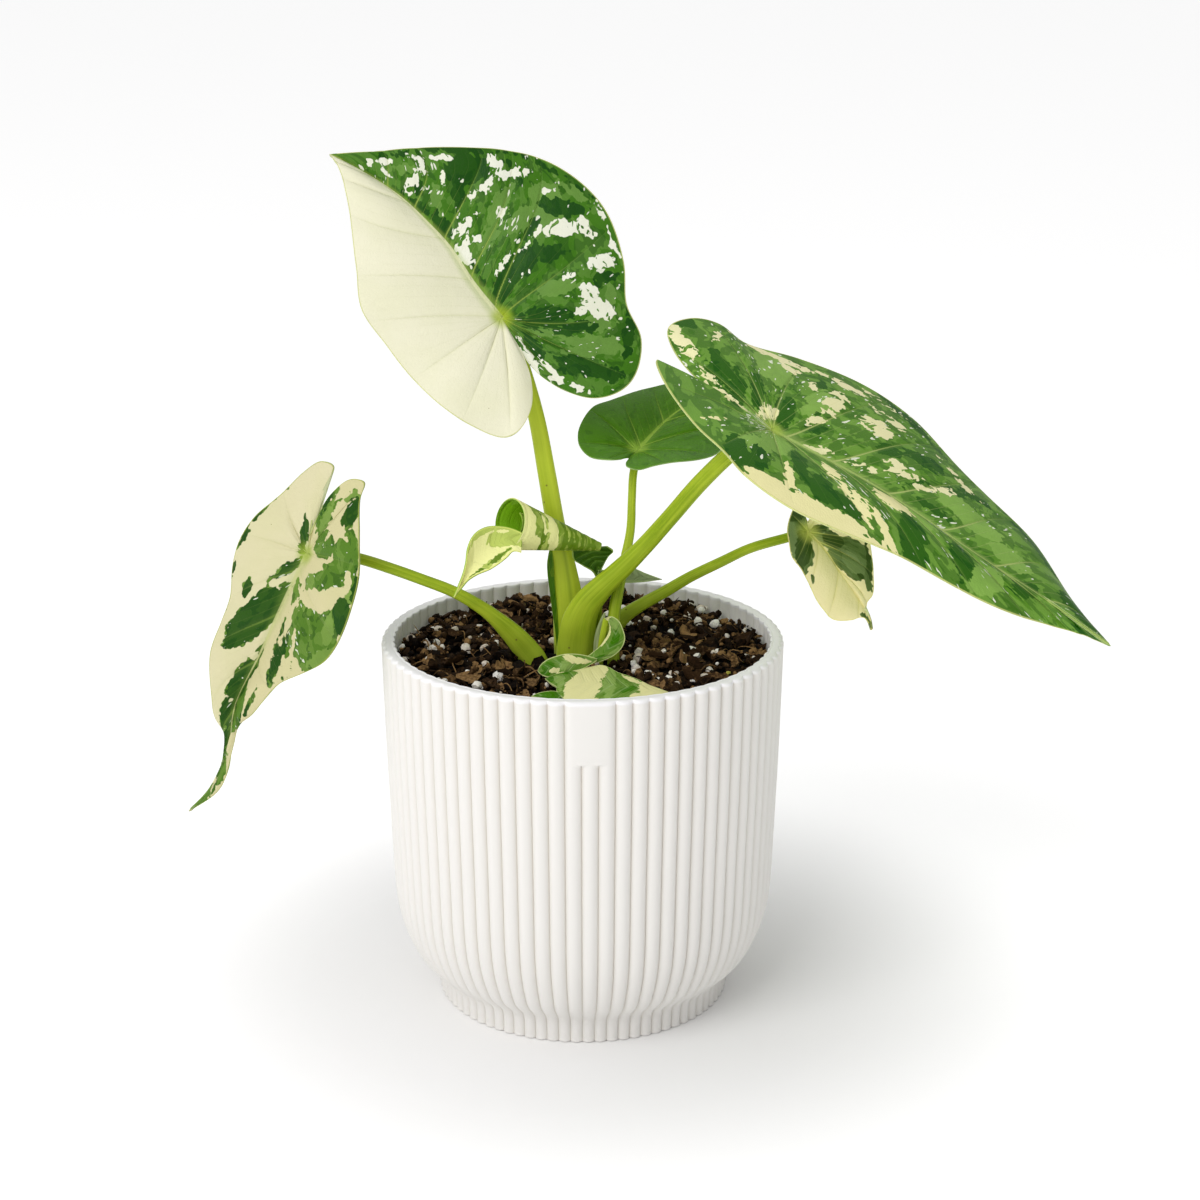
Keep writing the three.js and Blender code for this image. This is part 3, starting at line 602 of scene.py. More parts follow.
        shade = graph.mix(graph.scaled(specks, 0.8), shade, self.paint("8a7c45"))
        vein, minor, valley_and_shade = self.veins(graph, phase, edge)
        # partly the veins' own colour and partly painted shade: a soft band along each main vein's valley,
        # tinted to the far veins' green on green and to the cream veins' colour on cream
        deep = graph.mix(cream, self.paint(self.far_vein), self.paint(self.cream_vein))
        shade = graph.mix(graph.scaled(valley_and_shade, 0.22 * self.vein_strength), shade, deep)
        green_vein = graph.mix(graph.step(edge, 0.05, 0.7), self.paint(self.vein), self.paint(self.far_vein))
        line = graph.mix(cream, green_vein, self.paint(self.cream_vein))
        shade = graph.mix(graph.scaled(minor, 0.3 * self.vein_strength), shade, line)
        softer = graph.scaled(cream, -0.45 * self.vein_strength, self.vein_strength)
        shade = graph.mix(graph.math("MULTIPLY", vein, softer), shade, line)
        rib = graph.value("midrib")
        glow = graph.step(rib, 3.6, 1.0)
        shade = graph.mix(graph.scaled(glow, self.glow), shade, self.paint(self.vein))
        midrib = graph.step(rib, 1.0, 0.55)
        shade = graph.mix(graph.scaled(midrib, 0.85), shade, self.paint(self.rib or self.cream_vein))
        hub = graph.step(graph.value("hub"), 5.5, 1.2)
        shade = graph.mix(graph.scaled(hub, 0.75), shade, self.paint(self.hub))
        rim = graph.step(graph.value("rim"), 0.5, 0.2)
        shade = graph.mix(graph.scaled(rim, 0.75), shade, self.paint(self.margin))
        under = graph.value("under")
        shade = graph.mix(under, shade, graph.mix(self.under_share, shade, self.paint(self.under_tint)))
        sunk = graph.total(graph.scaled(vein, -0.5), graph.scaled(minor, -0.2), graph.scaled(valley_and_shade, -0.7))
        cells = graph.add("TexVoronoi", {"Vector": plain, "Scale": 0.9}, feature="DISTANCE_TO_EDGE")
        grain = graph.scaled(graph.step(cells.outputs[0], 0.0, 0.2), 0.1)
        sunk = graph.math("MULTIPLY", sunk, graph.scaled(cream, -0.5, 1.0))
        height = graph.total(sunk, grain, graph.scaled(graph.noise(plain, 0.35, 2.0), 0.5))
        sheen = graph.total(self.roughness, graph.scaled(under, 0.25), graph.scaled(soft, 0.08))
        normal = graph.bump(height, 0.4, 0.8)
        return graph.surface(
            Base_Color=shade, Roughness=sheen, Normal=normal, Specular_IOR_Level=self.mirror,
        )

    def veins(self, graph: Graph, phase: object, edge: object) -> tuple[object, object, object]:
        """Masks of the main veins, of the finer ones between them, and of the valleys of the main ones, which
        also carry painted shade.
        """
        masks = []
        fade = graph.math("SUBTRACT", 1.0, graph.math("POWER", edge, 3.0), clamp=True)
        main = self.vein_width
        for count, width in ((1.0, main), (4.0, 0.4 * main), (1.0, 3.4 * main)):
            counted = graph.scaled(phase, count)
            nearest = graph.math("ROUND", counted)
            away = graph.math("ABSOLUTE", graph.math("SUBTRACT", counted, nearest))
            distance = graph.math("MULTIPLY", graph.math("DIVIDE", graph.value("gap"), count), away)
            limit = graph.scaled(edge, -0.75 * width, width)
            ratio = graph.math("DIVIDE", distance, limit)
            masks.append(graph.math("MULTIPLY", graph.step(ratio, 1.4, 0.4), fade))
        return masks[0], masks[1], masks[2]


@dataclass
class LeafBlade:
    """An arrow-shaped blade of two halves that meet along the midrib and at the notch.

    Attributes:
        name: name of the leaf; its solid is the node NAME_blade.
        finish: its colours.
        slot: the record's material slot.
        face: direction that the upper side looks in.
        rib: the midrib from the tip to the stalk.
        right, left: the margins from the tip, round the lobe, to the notch.
        lobe_from: number of the right and left margin point that lies level with the stalk.
        arch: how far a half bulges towards the upper side, in mm.
        wave: count and height of the margin's ripples.
        right_veins, left_veins: each main vein's place at the midrib and at the margin; 0 is the
            tip, 1 is the stalk, and past 1 the place runs round the lobe.
        cream_base, dark_base, pale_base: starting fields of the right and left halves, in mm.
        blotches: the larger markings.
        quilt: height of the swelling between two veins, in mm.
        detail: grid rows for each step of the plain solid.
        columns: grid columns from the midrib to the margin.
        rib_steps: steps of the plain solid along the midrib.
    """

    name: str
    finish: LeafFinish
    slot: str
    face: Point
    rib: list[Point]
    right: list[Point]
    left: list[Point]
    lobe_from: tuple[int, int]
    arch: float
    wave: Pair
    right_veins: list[Pair]
    left_veins: list[Pair]
    cream_base: Pair = (-4.0, -4.0)
    dark_base: Pair = (-3.0, -3.0)
    pale_base: Pair = (-3.0, -3.0)
    blotches: list[Blotch] = field(default_factory=list)
    quilt: float = 0.8
    detail: int = 9
    columns: int = 46
    rib_steps: int = 11

    def chart_axes(self) -> tuple[np.ndarray, np.ndarray, np.ndarray]:
        """Origin and axes of the leaf's own plane.

        Returns:
            The stalk point, the direction to the tip and the direction to the right half.
        """
        face = unit(np.array(self.face, float))
        origin = np.array(self.rib[-1], float)
        along = np.array(self.rib[0], float) - origin
        along = unit(along - face * along.dot(face))
        across = np.cross(face, along)
        middle = np.array(self.right[len(self.right) // 2], float) - origin
        if middle.dot(across) < 0:
            across = -across
        return origin, along, across

    def fields(self, points: np.ndarray, half: int) -> dict[str, np.ndarray]:
        """How deep each point lies in each tone's markings, in mm.

        Args:
            points: the half's points, in mm.
            half: 0 for the right half, 1 for the left.

        Returns:
            A field for each tone that the finish reads.
        """
        origin, along, across = self.chart_axes()
        here = points - origin
        depths = tone_depths(self.blotches, here @ along, here @ across)
        cream = np.full(points.shape[:2], self.cream_base[half])
        if self.cream_base[half] > 0:
            cut = np.maximum(np.maximum(depths[Tone.GREEN], depths[Tone.DARK]), depths[Tone.PALE])
            cream = np.minimum(cream, -cut)
        return {
            "cream": np.maximum(cream, depths[Tone.CREAM]),
            "dark": np.maximum(self.dark_base[half], depths[Tone.DARK]),
            "pale": np.maximum(self.pale_base[half], depths[Tone.PALE]),
        }

    def half_sheet(self, half: int) -> bpy.types.Object:
        """One half of the blade as a fine sheet.

        Args:
            half: 0 for the right half, 1 for the left.

        Returns:
            The sheet, with its UV map and number attributes.
        """
        rib = SmoothCurve(self.rib)
        edge_points = (self.right, self.left)[half]
        margin = SmoothCurve(edge_points)
        segments = len(edge_points) - 1
        lobe_from = self.lobe_from[half]
        face = unit(np.array(self.face, float))
        total = self.rib_steps + segments - lobe_from
        steps = np.linspace(0, total, total * self.detail + 1)
        on_rib = np.minimum(steps / self.rib_steps, 1)
        place = (lobe_from * on_rib + np.maximum(0, steps - self.rib_steps)) / segments
        count, height = self.wave
        ripple = height * np.sin(2 * np.pi * count * place) * np.sin(np.pi * place)
        roots = rib.at_length(on_rib)
        margins = margin.at(place) + ripple[:, None] * face
        fractions = np.linspace(0, 1, self.columns + 1)
        swell = self.arch * np.sin(np.pi * steps / total)[:, None] * np.sin(np.pi * fractions)
        points = roots[:, None] + (margins - roots)[:, None] * fractions[None, :, None]
        points = points + swell[..., None] * face
        s = steps / self.rib_steps
        phase, gap = self.vein_phase(points, s, fractions, half)
        length = np.linalg.norm(margins - roots, axis=1)
        reach = length[:, None] * fractions
        normal = unit(np.cross(np.gradient(points, axis=0), np.gradient(points, axis=1)))
        normal = normal * np.sign((normal @ face))[..., None]
        calm = np.sin(np.pi * fractions) ** 0.6 * np.clip(reach / 6, 0, 1)
        calm = calm * (np.clip(length / 10, 0, 1) * np.clip((total - steps) / 2, 0, 1))[:, None]
        wave = np.abs(np.sin(np.pi * phase)) ** 0.7 - 0.45
        points = points + normal * (self.quilt * wave * calm)[..., None]
        rib_width = 0.35 + 0.95 * np.clip(s, 0, 1) ** 2
        grow = np.clip(1.3 - s, 0, 1)[:, None]
        rib_reach = reach / np.maximum(rib_width, 0.2)[:, None]
        rib_reach = np.where(s[:, None] > 1, rib_reach * (1 + 6 * (s[:, None] - 1)), rib_reach)
        ridge = 1.1 * np.exp(-(reach / 1.3) ** 2) * np.where(s[:, None] <= 1, 0.3 + 0.7 * s[:, None], grow)
        distance = np.abs(phase - np.round(phase)) * gap
        ridge = ridge + 0.35 * np.exp(-(distance / 0.7) ** 2) * (1 - fractions) * np.clip(reach / 3, 0, 1)
        numbers = self.fields(points, half)
        numbers.update(
            edge=np.broadcast_to(fractions, phase.shape), gap=gap, midrib=rib_reach,
            hub=np.linalg.norm(points - roots[-1], axis=-1),
            rim=length[:, None] * (1 - fractions) + np.where(length[:, None] < 1, 1, 0), ridge=ridge,
        )
        chart = np.stack([phase + 20 * half, reach], -1)
        sheet = shaped_grid(f"{self.name}_half", points, numbers, chart)
        corner = sheet.data.polygons[len(sheet.data.polygons) // 2]
        if corner.normal.dot(Vector(self.face)) < 0:
            sheet.data.flip_normals()
        return sheet

    def vein_phase(self, points: np.ndarray, s: np.ndarray, fractions: np.ndarray,
                   half: int) -> tuple[np.ndarray, np.ndarray]:
        """Counts the main veins across the half.

        Args:
            points: the half's points, in mm.
            s: each row's place, 0 at the tip and 1 at the stalk.
            fractions: each column's place, 0 at the midrib and 1 at the margin.
            half: 0 for the right half, 1 for the left.

        Returns:
            A phase that is a whole number on each vein, and the spacing of the veins in mm.
        """
        veins = np.array((self.right_veins, self.left_veins)[half], float)
        phase = np.zeros(points.shape[:2])
        for column, fraction in enumerate(fractions):
            places = veins[:, 0] + (veins[:, 1] - veins[:, 0]) * fraction ** 0.8
            places = np.concatenate([[places[0] - 0.2], places, [places[-1] + 0.3]])
            phase[:, column] = np.interp(s, places, np.arange(len(places)))
            below = s < places[0]
            phase[below, column] = (s[below] - places[0]) / 0.2
        along_s, along_f = np.gradient(points, axis=0), np.gradient(points, axis=1)
        phase_s, phase_f = np.gradient(phase, axis=0), np.gradient(phase, axis=1)
        e = (along_s ** 2).sum(-1)
        f = (along_s * along_f).sum(-1)
        g = (along_f ** 2).sum(-1)
        slope = (g * phase_s ** 2 - 2 * f * phase_s * phase_f + e * phase_f ** 2)
        slope = slope / np.maximum(e * g - f ** 2, 1e-9)
        gap = 1 / np.sqrt(np.maximum(slope, 1e-4))
        return phase, np.clip(gap, 0, 40)

    def build(self) -> bpy.types.Object:
        """Makes the blade and hands it to the frame.

        Returns:
            The finished blade.
        """
        blade = joined(f"{self.name}_blade_fine", [self.half_sheet(0), self.half_sheet(1)])
        weld(blade)
        finished(blade, self.finish, self.slot, f"{self.name}_blade")
        return blade


def thickened(sheet: bpy.types.Object, thickness: float) -> None:
    """Gives a sheet its thickness, and its underside the veins' ridges.

    Args:
        sheet: an open sheet whose faces look to the upper side; its ridge attribute is in mm.
        thickness: the thickness in mm.
    """
    count = len(sheet.data.vertices)
    normals = np.zeros(count * 3)
    sheet.data.vertex_normals.foreach_get("vector", normals)
    apply_modifier(sheet, "SOLIDIFY", thickness=thickness * MM, offset=0.0)
    mesh = sheet.data
    places = np.zeros(len(mesh.vertices) * 3)
    mesh.vertices.foreach_get("co", places)
    places = places.reshape(-1, 3)
    across = places[count:] - places[:count]
    first_on_top = (across * normals.reshape(-1, 3)).sum() < 0
    low = np.arange(count, 2 * count) if first_on_top else np.arange(count)
    outwards = unit(across) if first_on_top else unit(-across)
    ridge = np.zeros(2 * count)
    mesh.attributes["ridge"].data.foreach_get("value", ridge)
    places[low] += outwards * (ridge[low] * MM)[:, None]
    mesh.vertices.foreach_set("co", places.ravel())
    under = np.zeros(2 * count)
    under[low] = 1.0
    mesh.attributes.new("under", "FLOAT", "POINT").data.foreach_set("value", under)
    mesh.attributes.remove(mesh.attributes["ridge"])
    mesh.update()


def finished(sheet: bpy.types.Object, finish: LeafFinish, slot: str, *nodes: str) -> None:
    """Makes a leaf's sheet solid, gives it its finish and hands it to the frame.

    Args:
        sheet: the open sheet.
        finish: its colours.
        slot: the record's material slot.
        nodes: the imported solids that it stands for.
    """
    thickened(sheet, LEAF_THICKNESS)
    smooth(sheet, 60)
    sheet.data.materials.append(finish.build())
    carried(sheet, slot, *nodes)


@dataclass(frozen=True)
class StalkFinish:
    """Satin yellow-green skin of the leaf stalks."""

    name: str = "stalk_skin"
    light: str = "c8d83e"
    body: str = "9ab31d"
    deep: str = "7b9814"
    foot: str = "8aa630"

    def build(self) -> bpy.types.Material:
        """Makes the material; it reads the attributes round and up of the stalk."""
        graph = Graph(self.name)
        plain = graph.places()
        around, up = graph.value("round"), graph.value("up")
        lines = graph.add("CombineXYZ", {0: graph.scaled(around, 9.0), 1: graph.scaled(up, 0.05), 2: 1.0})
        streaks = graph.step(graph.noise(lines.outputs[0], 2.0, 4.0), 0.3, 0.7)
        shade = graph.mix(streaks, colour(self.deep), colour(self.body))
        bands = graph.add("CombineXYZ", {0: graph.scaled(around, 1.6), 1: graph.scaled(up, 0.02), 2: 7.0})
        band = graph.step(graph.noise(bands.outputs[0], 1.6, 2.0), 0.38, 0.62)
        shade = graph.mix(graph.scaled(band, 0.35), shade, colour(self.light))
        glow = graph.step(graph.noise(plain, 0.05, 2.0), 0.35, 0.65)
        shade = graph.mix(graph.scaled(glow, 0.45), shade, colour(self.light))
        shade = graph.mix(graph.value("tint"), shade, colour(self.light))
        shade = graph.mix(graph.value("seam"), shade, colour("86a02a"))
        low = graph.step(up, 24.0, 2.0)
        shade = graph.mix(graph.scaled(low, 0.5), shade, colour(self.foot))
        rim = graph.step(graph.value("wing"), 0.55, 0.95)
        shade = graph.mix(graph.scaled(rim, 0.7), shade, colour("cfd98a"))
        cells = graph.add("TexVoronoi", {"Vector": plain, "Scale": 0.11})
        spot = graph.step(cells.outputs["Distance"], 0.05, 0.03)
        shade = graph.mix(graph.scaled(spot, 0.7), shade, colour("6b5a2a"))
        height = graph.total(graph.scaled(streaks, 0.3), graph.scaled(graph.noise(plain, 1.3, 3.0), 0.2))
        return graph.surface(
            Base_Color=shade, Roughness=0.4, Normal=graph.bump(height, 0.08, 0.5), Specular_IOR_Level=0.15,
        )


@dataclass(frozen=True)
class SheathFinish:
    """Papery pale green skin of the small sheath."""

    name: str = "sheath_skin"

    def build(self) -> bpy.types.Material:
        """Makes the material; it reads the attributes round and up."""
        graph = Graph(self.name)
        around, up = graph.value("round"), graph.value("up")
        lines = graph.add("CombineXYZ", {0: graph.scaled(around, 5.0), 1: graph.scaled(up, 0.1)})
        streaks = graph.step(graph.noise(lines.outputs[0], 1.5, 4.0), 0.35, 0.65)
        shade = graph.mix(streaks, colour("86975a"), colour("acb982"))
        return graph.surface(Base_Color=shade, Roughness=0.7, Normal=graph.bump(streaks, 0.08, 0.6))


@dataclass
class Stalk:
    """A leaf stalk with an oval section, a shallow channel and sheath wings at its foot.

    Attributes:
        node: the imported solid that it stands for.
        rows: x, y, z, half width and half depth along the stalk, in mm.
        channel: depth of the channel down the upper face, as a part of the half depth.
        wing: how far the sheath's two edges stand out at the foot, in mm.
        wing_top: height at which the wings have run out, in mm.
        under: the leaf under whose blade it stops.
        tint: how far its colour leans to the light yellow-green.
        seam: strength of the green line where its sheath closes.
        slot: the record's material slot.
        sides: grid columns round the stalk.
        per_row: grid rows for each of the rows.
    """

    node: str
    rows: list[tuple[float, float, float, float, float]]
    channel: float = 0.12
    wing: float = 0.0
    wing_top: float = 165.0
    under: LeafBlade | None = None
    tint: float = 0.0
    seam: float = 0.0
    slot: str = "stalk"
    sides: int = 48
    per_row: int = 10

    def build(self, skin: bpy.types.Material) -> bpy.types.Object:
        """Makes the stalk and hands it to the frame.

        Args:
            skin: the stalks' material.

        Returns:
            The finished stalk.
        """
        rows = np.array(self.rows, float)
        curve = SmoothCurve([tuple(row[:3]) for row in self.rows])
        count = (len(rows) - 1) * self.per_row
        places = np.linspace(0, 1, count + 1)
        centre, tangent = curve.at(places), curve.tangent(places)
        sizes = SmoothCurve([(row[3], row[4], 0.0) for row in self.rows]).at(places)
        side = unit(np.cross(np.array([0.0, -1.0, 0.0]), tangent))
        front = np.cross(tangent, side)
        angles = np.linspace(0, 2 * np.pi, self.sides + 1)
        facing = np.exp(-((np.angle(np.exp(1j * (angles - np.pi / 2)))) / 0.55) ** 2)
        flank = np.exp(-((np.angle(np.exp(1j * (angles - 0.25)))) / 0.22) ** 2)
        flank = flank + np.exp(-((np.angle(np.exp(1j * (angles - np.pi + 0.25)))) / 0.22) ** 2)
        fade = np.clip((self.wing_top - centre[:, 2]) / 30, 0, 1)[:, None]
        across = sizes[:, :1] * np.cos(angles) + self.wing * fade * flank * np.sign(np.cos(angles))
        deep = sizes[:, 1:2] * np.sin(angles) * (1 - self.channel * facing)
        points = centre[:, None] + side[:, None] * across[..., None] + front[:, None] * deep[..., None]
        start, end = centre[:1, None].repeat(self.sides + 1, 1), centre[-1:, None].repeat(self.sides + 1, 1)
        ends = [start, start + 0.75 * (points[:1] - start)]
        tops = [end + 0.6 * (points[-1:] - end), end]
        points = np.concatenate([ends[0], ends[1], points, tops[0], tops[1]])
        if self.under:
            face = unit(np.array(self.under.face, float))
            beyond = (points - np.array(self.under.rib[-1], float)) @ face + 0.35
            points = points - np.maximum(beyond, 0)[..., None] * face
        height = np.concatenate([[0, 0], centre[:, 2] - 120, [centre[-1, 2] - 120] * 2])
        lift = np.concatenate([np.zeros((2, 1)), fade, np.zeros((2, 1))])
        numbers = {
            "round": np.broadcast_to(np.abs(np.angle(np.exp(1j * angles))), points.shape[:2]),
            "up": np.broadcast_to(height[:, None], points.shape[:2]),
            "wing": flank * lift * min(1.0, self.wing),
            "tint": np.broadcast_to(self.tint * (0.75 + 0.35 * (angles > 1.95)), points.shape[:2]),
            "seam": self.seam * np.exp(-((angles - 1.85) / 0.16) ** 2) * (height[:, None] < 45),
        }
        stalk = shaped_grid(f"{self.node}_fine", points, numbers)
        weld(stalk)
        outward(stalk)
        smooth(stalk, 60)
        stalk.data.materials.append(skin)
        carried(stalk, self.slot, self.node)
        return stalk


@dataclass
class RolledLeaf:
    """A young blade rolled into a cone, with a loose pale tip and a dark open base.

    Attributes:
        finish, base_finish: colours of the cone with its tip, and of the base.
        cone_from, cone_to: ends of the cone's axis, in mm.
        radius_from, radius_to: its outer radius at those ends, in mm.
        start, turn: where the winding starts and how far it goes round, in degrees.
        tighten: part of the radius that is lost over the winding.
        back_reach: how much further the back reaches than the front, as a part of the length.
    """

    finish: LeafFinish
    base_finish: LeafFinish
    cone_from: Point = (6, -5.6, 163.6)
    cone_to: Point = (-21.6, -12, 173.2)
    radius_from: float = 1.2
    radius_to: float = 8.6
    start: float = -80
    turn: float = 500
    tighten: float = 0.42
    back_reach: float = 0.2

    def cone(self) -> bpy.types.Object:
        """The wound sheet: it winds inwards, and its back reaches further than its front."""
        start, end = np.array(self.cone_from, float), np.array(self.cone_to, float)
        axis = unit(end - start)
        up = unit(np.array([0, 0, 1.0]) - axis * axis[2])
        front = np.cross(axis, up)
        front = -front if front[1] > 0 else front
        wound = np.linspace(0, 1, 121)
        lengths = np.linspace(0, 1, 49)
        angle = np.radians(self.start + self.turn * wound)
        stretch = 1 + self.back_reach * (0.5 - 0.5 * np.cos(angle)) * np.clip(wound / 0.1, 0, 1)
        along = lengths[:, None] * stretch
        radius = self.radius_from + (self.radius_to - self.radius_from) * along
        ribs = 0.13 * np.sin(lengths ** 0.8 * 2 * np.pi * 9)[:, None] * np.clip(0.75 - lengths, 0, 1)[:, None]
        radius = (radius + ribs) * (1 - self.tighten * wound)
        points = start + (end - start) * along[..., None]
        points = points + front * (radius * np.cos(angle))[..., None]
        points = points + up * (radius * np.sin(angle))[..., None]
        return strip("rolled_cone", points, self.cone_blotches(), 2.6, {})

    def cone_blotches(self) -> list[Blotch]:
        """Bands that run obliquely round the cone; places are hundredths of its length and turn."""
        return markings(
            cream=[
                (93, 8, 40, 10, 80), (80, 4, 12, 8, 60), (60, 16, 34, 4.5, 74), (66, 26, 16, 4, 78),
                (100, 30, 30, 7, 80), (74, 22, 10, 2, 70),
            ],
            dark=[
                (46, 16, 40, 3.4, 78), (38, 14, 40, 2, 80), (31, 14, 40, 2.6, 80), (24, 14, 40, 2, 80),
                (17, 14, 40, 2.4, 80), (9, 14, 40, 2, 80), (76, 26, 22, 3, 76), (70, 4, 14, 2, 76),
            ],
            pale=[(42, 12, 40, 1, 78), (70, 14, 20, 4, 74)],
        )

    def build(self, tip: "Strip", base: list["Strip"]) -> None:
        """Makes the blade and hands it to the frame.

        Args:
            tip: the loose pale tip.
            base: the dark open base and its lobe.
        """
        light = joined("rolled_leaf_cone_fine", [self.cone(), tip.sheet()])
        dark = joined("rolled_leaf_base_fine", [part.sheet() for part in base])
        finished(light, self.finish, "rolled_blade", "rolled_leaf_blade")
        finished(dark, self.base_finish, "rolled_blade")


def strip(name: str, points: np.ndarray, blotches: list[Blotch], veins: float,
          bases: dict[Tone, float], slant: float = 0.0) -> bpy.types.Object:
    """A sheet of leaf between two edges, with the numbers that the leaf finish reads.

    Args:
        name: the object's name.
        points: rows by columns by 3, in mm.
        blotches: markings, placed in hundredths of the sheet's length and width.
        veins: number of veins along the length.
        bases: starting field of each tone, in mm.
        slant: how far the veins lean along the length.

    Returns:
        The open sheet.
    """
    rows, columns = points.shape[:2]
    u = np.linspace(0, 1, rows)[:, None] * np.ones(columns)
    v = np.ones(rows)[:, None] * np.linspace(0, 1, columns)
    width = np.linalg.norm(np.diff(points, axis=1), axis=-1).sum(1)[:, None] * np.ones(columns)
    length = np.linalg.norm(np.diff(points, axis=0), axis=-1).sum(0).mean()
    scale = 0.01 * 0.5 * (length + width.mean())
    depths = tone_depths(blotches, 100 * u, 100 * v, scale)
    cream = np.full(u.shape, bases.get(Tone.CREAM, -3.0))
    if bases.get(Tone.CREAM, -3.0) > 0:
        cream = np.minimum(cream, -np.maximum(depths[Tone.GREEN], depths[Tone.DARK]))
    phase = veins * (u + slant * np.abs(v - 0.5)) + 0.5
    margin = np.minimum(v, 1 - v) * width
    numbers = {
        "cream": np.maximum(cream, depths[Tone.CREAM]),
        "dark": np.maximum(bases.get(Tone.DARK, -3.0), depths[Tone.DARK]),
        "pale": np.maximum(bases.get(Tone.PALE, -3.0), depths[Tone.PALE]),
        "edge": np.abs(2 * v - 1), "gap": np.full(u.shape, length / veins),
        "midrib": np.full(u.shape, 9.0), "hub": np.full(u.shape, 90.0), "rim": margin,
        "ridge": np.zeros(u.shape),
    }
    return shaped_grid(name, points, numbers, np.stack([phase, v * width], -1))


@dataclass
class Strip:
    """A strip of leaf between two edges that run side by side.

    Attributes:
        name: the strip's name.
        first, second: the two edges, in mm.
        lift: how far its middle bulges, in mm.
        blotches: markings, in hundredths of length and width.
        cream_base, dark_base, pale_base: starting fields, in mm.
        veins: number of veins along it.
        slant: how far they lean.
        rows, columns: the grid's steps along it and across it.
    """

    name: str
    first: list[Point]
    second: list[Point]
    lift: Point = (0, 0, 0)
    blotches: list[Blotch] = field(default_factory=list)
    cream_base: float = -3.0
    dark_base: float = -3.0
    pale_base: float = -3.0
    veins: float = 5.0
    slant: float = 0.3
    rows: int = 90
    columns: int = 32

    def sheet(self) -> bpy.types.Object:
        """The strip as an open sheet."""
        places = np.linspace(0, 1, self.rows + 1)
        fractions = np.linspace(0, 1, self.columns + 1)
        low, high = SmoothCurve(self.first).at(places), SmoothCurve(self.second).at(places)
        points = low[:, None] + (high - low)[:, None] * fractions[None, :, None]
        swell = np.sin(np.pi * fractions) * np.sin(np.pi * places)[:, None]
        points = points + swell[..., None] * np.array(self.lift, float)
        bases = {Tone.CREAM: self.cream_base, Tone.DARK: self.dark_base, Tone.PALE: self.pale_base}
        return strip(self.name, points, self.blotches, self.veins, bases, self.slant)


@dataclass
class LowLeaf:
    """The blade that rests on the soil at the front, one side twisted up to the crown."""

    finish: LeafFinish

    def build(self, strips: list[Strip]) -> bpy.types.Object:
        """Makes the blade and hands it to the frame.

        Args:
            strips: the twisted ribbon and the blade that lies on the soil.

        Returns:
            The finished blade.
        """
        blade = joined("low_leaf_blade_fine", [part.sheet() for part in strips])
        finished(blade, self.finish, "low_blade", "low_leaf_blade")
        return blade


@dataclass(frozen=True)
class PotFinish:
    """Matte off-white moulded plastic, with painted shade in the grooves and a painted highlight on the rim's
    top.
    """

    name: str = "pot_plastic"
    body: str = "edebe7"
    # painted shade: the colour that the grooves are darkened to
    groove: str = "d6d0c5"
    # painted highlight: the near white that the rim's top is brightened to
    rim: str = "f9f8fa"
    roughness: float = 0.5

    def build(self) -> bpy.types.Material:
        """Makes the material; it reads the pot's groove attribute, which sets the painted shade in the
        grooves.
        """
        graph = Graph(self.name)
        plain = graph.places()
        # painted shade: each groove is darkened by how deep it sinks
        shade = graph.mix(graph.value("groove"), colour(self.body), colour(self.groove))
        cloud = graph.noise(plain, 0.02, 3.0)
        shade = graph.mix(graph.scaled(cloud, 0.12), shade, colour("e6e3dd"))
        # painted highlight: the top of the pot, its rim, is painted near white above 128.4 mm
        height = graph.add("SeparateXYZ", {0: plain}).outputs[2]
        shade = graph.mix(graph.step(height, 128.4, 129.4), shade, colour(self.rim))
        grain = graph.noise(plain, 3.0, 3.0)
        rough = graph.scaled(graph.noise(plain, 0.08, 3.0), 0.14, self.roughness - 0.07)
        normal = graph.bump(grain, 0.03, 0.6)
        return graph.surface(Base_Color=shade, Roughness=rough, Normal=normal, Specular_IOR_Level=0.45)


